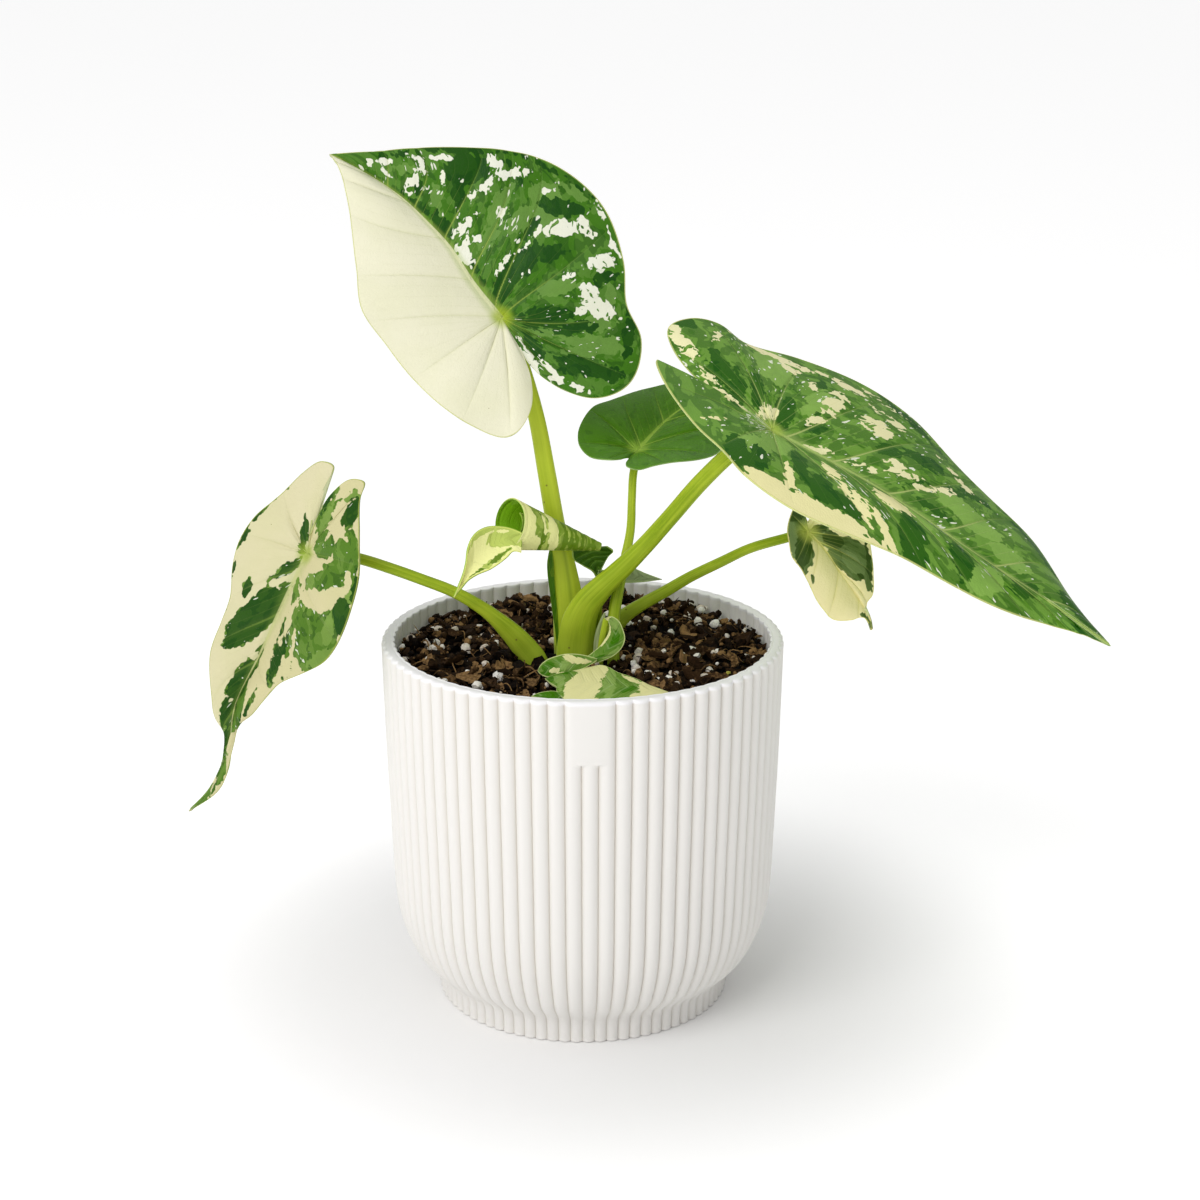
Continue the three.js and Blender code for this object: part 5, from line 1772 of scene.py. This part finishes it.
HANGING_LEAF = LeafBlade(
    name="hanging_leaf",
    finish=LeafFinish(
        "hanging_leaf_skin", mid="608637", dark="33560a", pale="86a652", cream="e2dcb4", splash="dad3a4",
        vein="93b052", far_vein="86a352", cream_vein="cdd093", hub="a4bb4a", margin="aab558", seed=35.0,
        wide=0.6, fine=0.45, mottle=0.45, flecks=0.1, light=1.09, sheen=0.02, glow=0.2, vein_strength=0.3,
    ),
    slot="hanging_blade",
    face=(-0.6, -0.75, 0.25),
    rib=[
        (-138, -8, 68), (-127, -12, 81), (-122, -11, 95), (-120, -6, 107), (-111, -6, 125),
        (-103, -7, 142), (-93, -8, 162),
    ],
    right=[
        (-138, -8, 68), (-125, -13.5, 80), (-120.5, -12.5, 95), (-119, -11, 101), (-113, -14, 107),
        (-103, -19, 119), (-95, -23, 124), (-87, -28, 130), (-82, -29, 137), (-77, -30, 148),
        (-74, -28, 159), (-74, -25, 172), (-74, -20, 184), (-72, -20, 190), (-77, -16, 190),
        (-84, -13, 184), (-89, -11, 176), (-92, -10, 169),
    ],
    left=[
        (-138, -8, 68), (-127.6, -11.4, 80.4), (-123, -10.5, 93), (-124, -8, 97), (-128, -4, 102),
        (-129, -1, 110), (-129, 3, 123), (-125, 4, 134), (-122, 4, 143), (-121, 7, 153), (-118, 8, 162),
        (-112, 6, 171), (-105, 2, 178), (-101, 1, 182), (-94, -2, 189), (-87, -7, 194), (-83, -10, 193),
        (-86, -10, 187), (-90, -9, 179), (-92, -10, 169),
    ],
    lobe_from=(10, 10),
    arch=2,
    wave=(4, 0.5),
    right_veins=[
        (0.25, 0.15), (0.42, 0.3), (0.6, 0.47), (0.78, 0.62), (0.95, 0.8), (1.05, 1.03), (1.25, 1.25),
    ],
    left_veins=[
        (0.25, 0.15), (0.42, 0.3), (0.6, 0.47), (0.78, 0.62), (0.95, 0.8), (1.05, 1.03), (1.25, 1.25),
    ],
    cream_base=(20, 20),
    blotches=markings(
        cream=[
            (11, 13, 8, 3, -84), (1, 7, 5, 2.6, -62), (32, 14, 11, 1.2, 18), (-28, 7, 6, 2, -28),
            (-15, 14, 4, 1, 80), (5, 19, 7, 2, -52), (-17, 9, 5, 1.1, -6), (-3, 24, 3, 1.2, 45),
            (23, 6, 9, 1.6, 6),
        ],
        dark=[
            (32, -9, 15, 5.6, -23), (23, -15, 4, 2.2, 6), (20, -7, 6, 2.2, -48), (8, -4, 8, 1.8, -30),
            (20, -3, 8, 2.4, -12), (52, -3, 9, 3.4, -5), (43, -1, 7, 1.5, 6), (65, -2, 6, 3.2, 14),
            (73, 2, 5, 1.8, 12), (34, 8, 12, 3.2, 14), (38, 16, 3, 1.4, -10), (9, 28, 7, 4.2, 30),
            (-23, 13, 6, 3, -5), (-22, 2, 5, 1.2, -3), (-6, -3, 8, 1.7, 10), (-4, -23, 12, 1, -20),
            (8, -26, 5, 1.2, -12), (20, -25, 4, 1, 10), (31, -22, 3, 1, 15), (-15, -18, 2, 0.9, -30),
            (57, 6, 5, 0.9, -5), (-2, 28, 5, 1.5, 25),
        ],
        green=[
            (-8, 8, 6, 5, -50), (1, 16, 10, 4.8, -70), (-9, 19, 9, 6, 22), (-3, 22, 7, 5, 25),
            (-17, 3, 8, 3, -3), (-24, 4, 5, 2, -10), (21, 18, 14, 8.6, 32), (21, 25, 8, 5, 10),
            (15, 5, 8, 2.2, 30), (27, 12, 9, 3, 14), (60, 1, 10, 3.6, 12), (80, 5, 9, 2, 20),
            (96, 3.6, 9, 1.6, -25),
        ],
        pale=[
            (15, 24, 6, 2.6, 14), (2, 26, 4, 2.8, -60), (-17, 4, 6, 1.6, -8), (8, 9, 7, 2.6, 20),
            (26, 26, 7, 2.6, -36), (-28, 10, 4, 2.1, -40),
        ],
    ),
)


ROLLED_LEAF = RolledLeaf(
    finish=LeafFinish(
        "rolled_leaf_skin", mid="7d963c", dark="5f7d22", pale="b9c866", cream="e0e09a",
        vein="a9b95c", far_vein="a9b95c", cream_vein="d7db90", hub="86a13a", margin="ccd670", seed=43.0,
        wide=0.6, fine=0.3, mottle=0.6, flecks=-3.0, specks=0.0, light=0.85, vein_strength=0.3,
        under_tint="6fa00c", under_share=0.95,
    ),
    base_finish=LeafFinish(
        "rolled_base_skin", mid="43661a", dark="33520e", pale="8fae4c", cream="dfdfa0",
        vein="6c9238", far_vein="6c9238", cream_vein="cdd384", hub="6c9238", margin="93ad52", seed=47.0,
        wide=0.4, fine=0.2, mottle=0.2, flecks=-3.0, specks=0.0, light=0.8, vein_strength=0.4,
    ),
)
ROLLED_TIP = Strip(
    name="rolled_tip",
    first=[
        (-20.4, -19.6, 165.6), (-23.2, -19.8, 166), (-25.2, -20, 164.1), (-27.8, -20.2, 162),
        (-31, -20.6, 160), (-35, -20.9, 158.4), (-38.3, -21.3, 156.4), (-41, -21.6, 153.2),
        (-43.1, -22, 150.8),
    ],
    second=[
        (-20.2, -19.5, 172.6), (-23.8, -18.6, 173.8), (-28.1, -17.8, 174.3), (-31.8, -18, 174.1),
        (-34.8, -18.8, 172.9), (-37, -19.6, 170.6), (-38.4, -20.2, 166.9), (-38.9, -20.8, 162.8),
        (-39.8, -21.3, 159.1), (-41.4, -21.8, 155), (-43.1, -22, 150.8),
    ],
    lift=(0, 2.2, -0.5),
    cream_base=2.0,
    pale_base=1.5,
    blotches=markings(
        green=[(12, 60, 26, 34, 0), (30, 96, 30, 10, 0)], dark=[(34, 14, 24, 6, -3), (60, 8, 20, 3, 0)],
        cream=[(18, 84, 10, 5, 0)],
    ),
    veins=4,
)
ROLLED_BASE = Strip(
    name="rolled_base",
    first=[
        (5, -2.3, 151), (3.5, -3.5, 154), (0, -4.5, 156.5), (-3, -5.5, 159), (-3.5, -6, 162.5),
    ],
    second=[
        (5, -2.3, 151), (7, -2.5, 155.5), (9, -3.5, 159.5), (10.5, -4, 161.5), (8.5, -5, 163.5),
    ],
    lift=(0, 1, 0),
    dark_base=1.0,
)
ROLLED_LOBE = Strip(
    name="rolled_lobe",
    first=[
        (5, -2.5, 151.3), (9.5, 1.5, 148.8), (15.5, 4.5, 147.7), (20, 5, 147.7), (27.5, 5.5, 148.5),
    ],
    second=[
        (5.5, -3.2, 154.5), (10.5, 1, 153.3), (17.5, 4, 153), (21.5, 5, 151), (27.5, 5.5, 148.5),
    ],
    lift=(0, -0.5, 0.5),
    blotches=markings(pale=[(50, 5, 60, 14, 0)]),
)
LOW_LEAF = LowLeaf(
    finish=LeafFinish(
        "low_leaf_skin", mid="6c8c42", dark="477628", pale="90ab60", cream="dedaa0",
        vein="a3bd7c", far_vein="a3bd7c", cream_vein="d3d29c", hub="a3bd7c", margin="d6dc9c", seed=53.0,
        wide=0.4, fine=0.25, mottle=0.3, flecks=-3.0, roughness=0.6, light=0.9, vein_strength=0.3,
        mirror=0.02, sheen=0.02, under_share=0.0,
    ),
)
LOW_RIBBON = Strip(
    name="low_ribbon",
    first=[
        (7.6, -17, 141.7), (9.9, -18, 142.6), (12.3, -19, 141.3), (13.6, -20, 138.8), (14.3, -21, 136.2),
        (14, -22, 134.4), (12.6, -23, 132.3), (10.2, -24, 130.5), (7.2, -25, 129.4), (3.8, -26, 128.6),
        (0.8, -27.5, 127.9), (-1.9, -29, 127.2), (-5.6, -31, 126.7),
    ],
    second=[
        (7.6, -17, 141.5), (8.9, -17.3, 140.4), (9.3, -17.7, 138.7), (8.8, -18.2, 136.4), (7.4, -19, 134.2),
        (5.9, -20, 132.4), (3.8, -21.5, 131.1), (1.8, -23, 130), (-0.9, -24.5, 129.4), (-2.9, -26, 128.6),
        (-4.3, -28, 127.8), (-5.6, -31, 126.7),
    ],
    lift=(0, -1, 0.6),
    blotches=markings(
        cream=[(30, 97, 15, 14, 0), (3, 50, 5, 60, 0)],
        dark=[(38, 45, 12, 20, 0), (72, 40, 14, 14, 0)],
        pale=[(15, 50, 8, 40, 0), (55, 15, 10, 12, 0)],
    ),
)
LOW_LOBE = Strip(
    name="low_lobe",
    first=[
        (-14.9, -32, 128), (-13.9, -31, 129.8), (-11.9, -30, 131.2), (-8.9, -29, 132.1),
        (-5.6, -28, 132.5), (-1.6, -27, 132.1), (2.5, -26.3, 131), (4.8, -26, 130.1),
    ],
    second=[
        (-14.9, -32, 128), (-13.6, -33, 126.9), (-10.9, -33.5, 126.2), (-8.2, -33.3, 126.3),
        (-5.6, -33, 126.7), (-2.6, -31.5, 127.4), (0.8, -29.5, 128.3), (4.8, -27, 129.8),
    ],
    lift=(0, -0.8, 0.5),
    blotches=markings(
        cream=[(38, 68, 9, 12, -25), (73, 38, 11, 34, -30), (46, 88, 8, 8, 0)],
        dark=[(27, 42, 13, 26, 0), (20, 80, 10, 12, 0)],
        pale=[(58, 50, 9, 30, 0)],
    ),
    rows=50,
)
LOW_BLADE = Strip(
    name="low_blade",
    first=[
        (-12.5, -37.3, 127), (-10.5, -42.3, 127), (-8.5, -46.2, 127), (-8.4, -50.2, 127),
        (-6.7, -55.4, 126.8), (-3.8, -60.6, 126.6), (0.7, -63, 126.6), (5.6, -63.5, 126.6),
        (10.4, -63.1, 126.6), (14.6, -61.7, 126.6), (18.6, -59.2, 126.7), (22.2, -56.9, 126.9),
        (25.5, -54.8, 127.2), (28.2, -52.8, 127.5),
    ],
    second=[
        (-12.5, -37.3, 127), (-9.9, -34.2, 127), (-6.9, -31.5, 127.3), (-3.3, -29.5, 127.5),
        (0.5, -28.5, 127.8), (3.5, -28, 128), (5.8, -27.5, 128.3), (8.8, -31.4, 128.8),
        (11.7, -36.5, 128.8), (15.7, -40, 128.6), (18.9, -43.5, 128.4), (22.1, -47.6, 128.1),
        (25.3, -50.2, 127.8), (28.2, -52.8, 127.5),
    ],
    lift=(0, 0, 1.2),
    blotches=markings(
        cream=[
            (40, 35, 12, 48, 0), (42, 82, 12, 40, 0), (90, 50, 14, 80, 0), (72, 84, 6, 13, 20),
            (75, 18, 5, 13, 0), (30, 92, 6, 12, 0),
        ],
        dark=[(69, 44, 4, 14, -20), (4, 50, 6, 60, 0), (20, 80, 4, 12, 0)],
        pale=[(57, 58, 4, 46, 0), (17, 38, 8, 34, 10), (80, 60, 4, 20, 0)],
    ),
    veins=11,
)
LOW_WING = Strip(
    name="low_wing",
    first=[
        (-16.8, -56.3, 127.5), (-14.6, -53.5, 127.6), (-12, -51.8, 127.6), (-9.7, -50.8, 127.4),
        (-7.4, -51.1, 127),
    ],
    second=[
        (-16.8, -56.3, 127.5), (-14.2, -57.2, 127.3), (-11.6, -58, 127.2), (-9.3, -58.2, 127),
        (-7.1, -57.3, 126.8),
    ],
    dark_base=1.0,
    veins=1.5,
    rows=30,
)
STALKS = [
    Stalk(
        node="tall_leaf_stalk",
        rows=[
            (-3.5, 1.6, 106, 3.4, 2.6), (-4.2, 1.2, 124, 5, 3.3), (-4.5, 1.2, 135, 4.9, 3.3),
            (-5, 1.5, 142.5, 4.6, 3.2), (-6.6, 2, 156.5, 3.6, 3), (-8.8, 2.5, 167, 3.3, 2.9),
            (-12, 3, 186.5, 3.1, 2.7), (-15.3, 4, 205.5, 2.8, 2.5), (-19.3, 6, 221, 2.5, 2.3),
            (-23, 8.5, 231.5, 2.4, 2.2), (-26, 9, 238.5, 2.3, 2.1), (-28, 5, 242.5, 2, 2),
        ],
        under=TALL_LEAF,
        tint=0.75,
        seam=0.6,
        wing=0.9,
        wing_top=170,
    ),
    Stalk(
        node="broad_leaf_stalk",
        rows=[
            (-2, -7, 104, 4.2, 3.2), (-2.5, -7, 125, 6, 4), (-2, -7, 131, 6, 4), (-1, -7.5, 138, 5.7, 4),
            (1.5, -8, 144, 4.9, 3.9), (6, -8.5, 149.5, 4.2, 3.6), (11, -9, 154.5, 3.7, 3.3),
            (20, -10, 164, 3.1, 2.9), (29.5, -11.5, 175.5, 2.9, 2.7), (40, -13, 188.5, 2.9, 2.6),
            (51, -14, 199.5, 2.8, 2.5), (59, -14.5, 204.5, 2.6, 2.4), (67, -15, 209, 2.4, 2.4),
        ],
        under=BROAD_LEAF,
        wing=0.9,
        wing_top=152,
    ),
    Stalk(
        node="back_leaf_stalk",
        rows=[
            (9.5, -13, 108, 1.9, 1.9), (10.5, -12.5, 123.5, 2.1, 2.1), (10.5, -9.5, 131.5, 2.1, 2.1),
            (11, -6, 141, 2.1, 2.1), (12.5, -3.5, 149, 2, 2), (14.5, -1, 157.5, 1.7, 1.7),
            (16.5, 3, 167, 1.5, 1.5), (17, 7, 176.5, 1.4, 1.4), (17.5, 10.5, 184.5, 1.4, 1.4),
            (18.8, 13.3, 190.5, 1.4, 1.4), (20, 14.5, 195, 1.2, 1.2),
        ],
        under=BACK_LEAF,
    ),
    Stalk(
        node="side_leaf_stalk",
        rows=[
            (11, 6.5, 108, 2.2, 2.2), (9.5, 5.5, 124, 3, 2.8), (10, 5.5, 129.5, 3.1, 2.8),
            (12.5, 6, 133, 2.9, 2.7), (16, 6.5, 136, 2.5, 2.4), (21.5, 7.5, 139.3, 2.2, 2.2),
            (28.5, 8.5, 143, 2.1, 2.1), (37.5, 10, 148, 1.9, 1.9), (48, 12.5, 152.5, 1.8, 1.8),
            (58.5, 16, 156.5, 1.7, 1.7), (71, 20, 159, 1.7, 1.7), (77, 19, 161, 1.7, 1.7),
            (80.5, 12, 163, 1.5, 1.5),
        ],
        under=SIDE_LEAF,
        wing=0.5,
        wing_top=136,
    ),
    Stalk(
        node="hanging_leaf_stalk",
        rows=[
            (-13.5, -7.5, 108, 2.8, 2.4), (-16.5, -8, 123.5, 4.2, 2.7), (-19.3, -8, 127.5, 4.2, 2.7),
            (-22.5, -8.5, 131.7, 3.9, 2.6), (-26, -8.7, 135.5, 3.4, 2.5), (-30, -9, 139.4, 2.7, 2.3),
            (-34.5, -9.5, 143.2, 2.3, 2.2), (-43.5, -10.5, 149, 2, 2), (-54.5, -11, 153.7, 1.9, 1.9),
            (-64.5, -10.5, 157.3, 1.9, 1.9), (-75, -8, 160, 1.9, 1.9), (-87, -4.5, 161.5, 1.9, 1.9),
            (-92.5, -5.5, 161.5, 1.9, 1.9), (-95, -12, 161, 1.7, 1.7),
        ],
        under=HANGING_LEAF,
        wing=0.8,
        wing_top=138,
    ),
    Stalk(
        node="rolled_leaf_stalk",
        rows=[
            (4.6, 2.4, 110, 1.9, 1.9), (4.5, 2, 127.5, 2.1, 2.1), (4.7, 1, 137, 2, 2),
            (5.3, -0.4, 145, 1.8, 1.8), (5.2, -1.7, 149.8, 1.5, 1.5),
        ],
    ),
    Stalk(
        node="low_leaf_stalk",
        rows=[
            (5.4, -15, 112, 1.1, 1.1), (5.8, -15.6, 124, 1.2, 1.2), (6.6, -16, 133, 1.2, 1.2),
            (8, -16.8, 141.2, 1.1, 1.1),
        ],
    ),
]
FOLD_SKIN = LeafFinish(
    "sheath_fold_skin", mid="47700f", dark="2f520c", pale="7fa028", cream="dfdfa0",
    vein="5f8a1c", far_vein="5f8a1c", cream_vein="cdd384", hub="5f8a1c", margin="6c9420", seed=61.0,
    wide=0.3, mottle=0.2, flecks=-3.0, specks=0.0, vein_strength=0.1,
)
FOLD = Strip(
    name="sheath_fold",
    first=[
        (-10.2, 0.8, 160.4), (-9.8, 0.3, 153.4), (-9.4, -0.2, 146.3), (-8.9, -0.5, 140.9),
        (-8.5, -0.7, 135.6), (-8.1, -0.8, 128.4), (-8, -0.8, 123.4),
    ],
    second=[
        (-11.3, 1.2, 160.5), (-12, 1.1, 155.8), (-11.8, 0.9, 151.5), (-11.1, 0.8, 146.1),
        (-10.5, 0.6, 140.8), (-9.8, 0.5, 135.4), (-9.2, 0.3, 128.1), (-8.8, 0.2, 123.4),
    ],
    lift=(0, -0.4, 0),
    dark_base=-2.0,
    veins=1,
    rows=60,
    columns=12,
)
SHEATH = Stalk(
    node="sheath",
    rows=[
        (5.2, -11, 114, 1.2, 0.45), (5.3, -11.3, 124, 1.7, 0.5), (5.4, -11.4, 130, 1.7, 0.5),
        (5.9, -11.2, 135, 1.4, 0.45), (7, -10.8, 139.5, 0.8, 0.4), (7.5, -10.5, 141.5, 0.3, 0.3),
    ],
    slot="sheath",
    channel=0.0,
)
SOIL_CLEAR = [
    (-4, 1, 6), (-2, -7, 7), (10, -13, 2.5), (10, 5.5, 3.5), (-15, -8, 5), (4.5, 2, 2.5), (6, -15, 2),
]


@dataclass
class Studio:
    """Pale floor, soft light from the left front and the camera of the photo."""

    floor_size: float = 30.0
    camera_place: Point = (0.0, -0.8217, 0.4017)
    camera_tilt: float = 17.49
    camera_turn: float = 0.42
    lens: float = 75.0

    def floor(self) -> None:
        """A large pale floor that isn't part of the object; it glows more with distance from the pot, a
        painted shadow round the foot and painted light farther out.
        """
        deselect_all()
        bpy.ops.mesh.primitive_plane_add(size=self.floor_size)
        floor = bpy.context.object
        floor.name = "studio_floor"
        graph = Graph("studio_floor")
        away = graph.add("VectorMath", {0: graph.places()}, operation="LENGTH").outputs["Value"]
        # painted shadow and light: no glow within 70 mm of the pot's axis, rising to full glow at 200 mm
        glow = graph.scaled(graph.step(away, 70.0, 200.0), 0.33)
        floor.data.materials.append(graph.surface(
            Base_Color=(0.94, 0.94, 0.94, 1.0), Roughness=0.9, Specular_IOR_Level=0.1,
            Emission_Color=(1.0, 1.0, 1.0, 1.0), Emission_Strength=glow,
        ))

    def area(self, name: str, place: Point, aim: Point, size: float, power: float, tint: str) -> None:
        """A square area light.

        Args:
            name: the light's name.
            place: where it hangs, in metres.
            aim: the point that it shines on, in metres.
            size: side of the square, in metres.
            power: its power, in watts.
            tint: hex colour.
        """
        bpy.ops.object.light_add(type="AREA", location=place)
        light = bpy.context.object
        light.name = name
        light.data.size = size
        light.data.energy = power
        light.data.color = colour(tint)[:3]
        direction = Vector(aim) - Vector(place)
        light.rotation_euler = direction.to_track_quat("-Z", "Y").to_euler()

    def world(self) -> None:
        """A white surround that is brighter overhead and a little dimmer on the right."""
        world = bpy.data.worlds.new("studio_world")
        world.use_nodes = True
        tree = world.node_tree
        background = tree.nodes["Background"]
        background.inputs[0].default_value = (1.0, 1.0, 1.0, 1.0)
        direction = tree.nodes.new("ShaderNodeTexCoord")
        parts = tree.nodes.new("ShaderNodeSeparateXYZ")
        tree.links.new(direction.outputs["Generated"], parts.inputs[0])
        levels = []
        for axis, span in ((2, (0.0, 1.0, 0.34, 1.08)), (0, (-1.0, 1.0, 1.0, 0.58))):
            level = tree.nodes.new("ShaderNodeMapRange")
            for number, value in enumerate(span, start=1):
                level.inputs[number].default_value = value
            tree.links.new(parts.outputs[axis], level.inputs[0])
            levels.append(level.outputs[0])
        product = tree.nodes.new("ShaderNodeMath")
        product.operation = "MULTIPLY"
        tree.links.new(levels[0], product.inputs[0])
        tree.links.new(levels[1], product.inputs[1])
        tree.links.new(product.outputs[0], background.inputs[1])
        bpy.context.scene.world = world

    def camera(self) -> None:
        """The camera, fitted to the pot's rim, foot and sides in the photo."""
        tilt = math.radians(90 - self.camera_tilt)
        turn = -math.radians(self.camera_turn)
        bpy.ops.object.camera_add(location=self.camera_place, rotation=(tilt, 0, turn))
        camera = bpy.context.object
        camera.data.lens = self.lens
        camera.data.sensor_width = 36.0
        camera.data.clip_end = 50.0
        bpy.context.scene.camera = camera

    def build(self) -> None:
        """Sets up the floor, the surround, the light and the camera."""
        bpy.context.scene.view_settings.view_transform = "Standard"
        self.floor()
        self.world()
        self.area("key_light", (-1.0, -1.4, 1.5), (0, 0, 0.08), 1.4, 20, "fffdfc")
        self.camera()


def build_leaves() -> None:
    """Builds all the blades."""
    for leaf in (TALL_LEAF, BROAD_LEAF, BACK_LEAF, SIDE_LEAF, HANGING_LEAF):
        leaf.build()
    ROLLED_LEAF.build(ROLLED_TIP, [ROLLED_BASE, ROLLED_LOBE])
    LOW_LEAF.build([LOW_RIBBON, LOW_LOBE, LOW_BLADE, LOW_WING])


def build_stalks() -> None:
    """Builds all the stalks, the dark fold at the tall one's edge and the papery sheath."""
    skin = StalkFinish().build()
    for stalk in STALKS:
        stalk.build(skin)
    finished(joined("tall_leaf_stalk_fold", [FOLD.sheet()]), FOLD_SKIN, "stalk")
    SHEATH.build(SheathFinish().build())


def main() -> None:
    logging.basicConfig(level=logging.INFO, format="%(message)s")
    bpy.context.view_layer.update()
    CoverPot().build()
    Soil(clear=SOIL_CLEAR).build()
    build_leaves()
    build_stalks()
    Studio().build()
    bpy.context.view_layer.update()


if __name__ == "__main__":
    main()
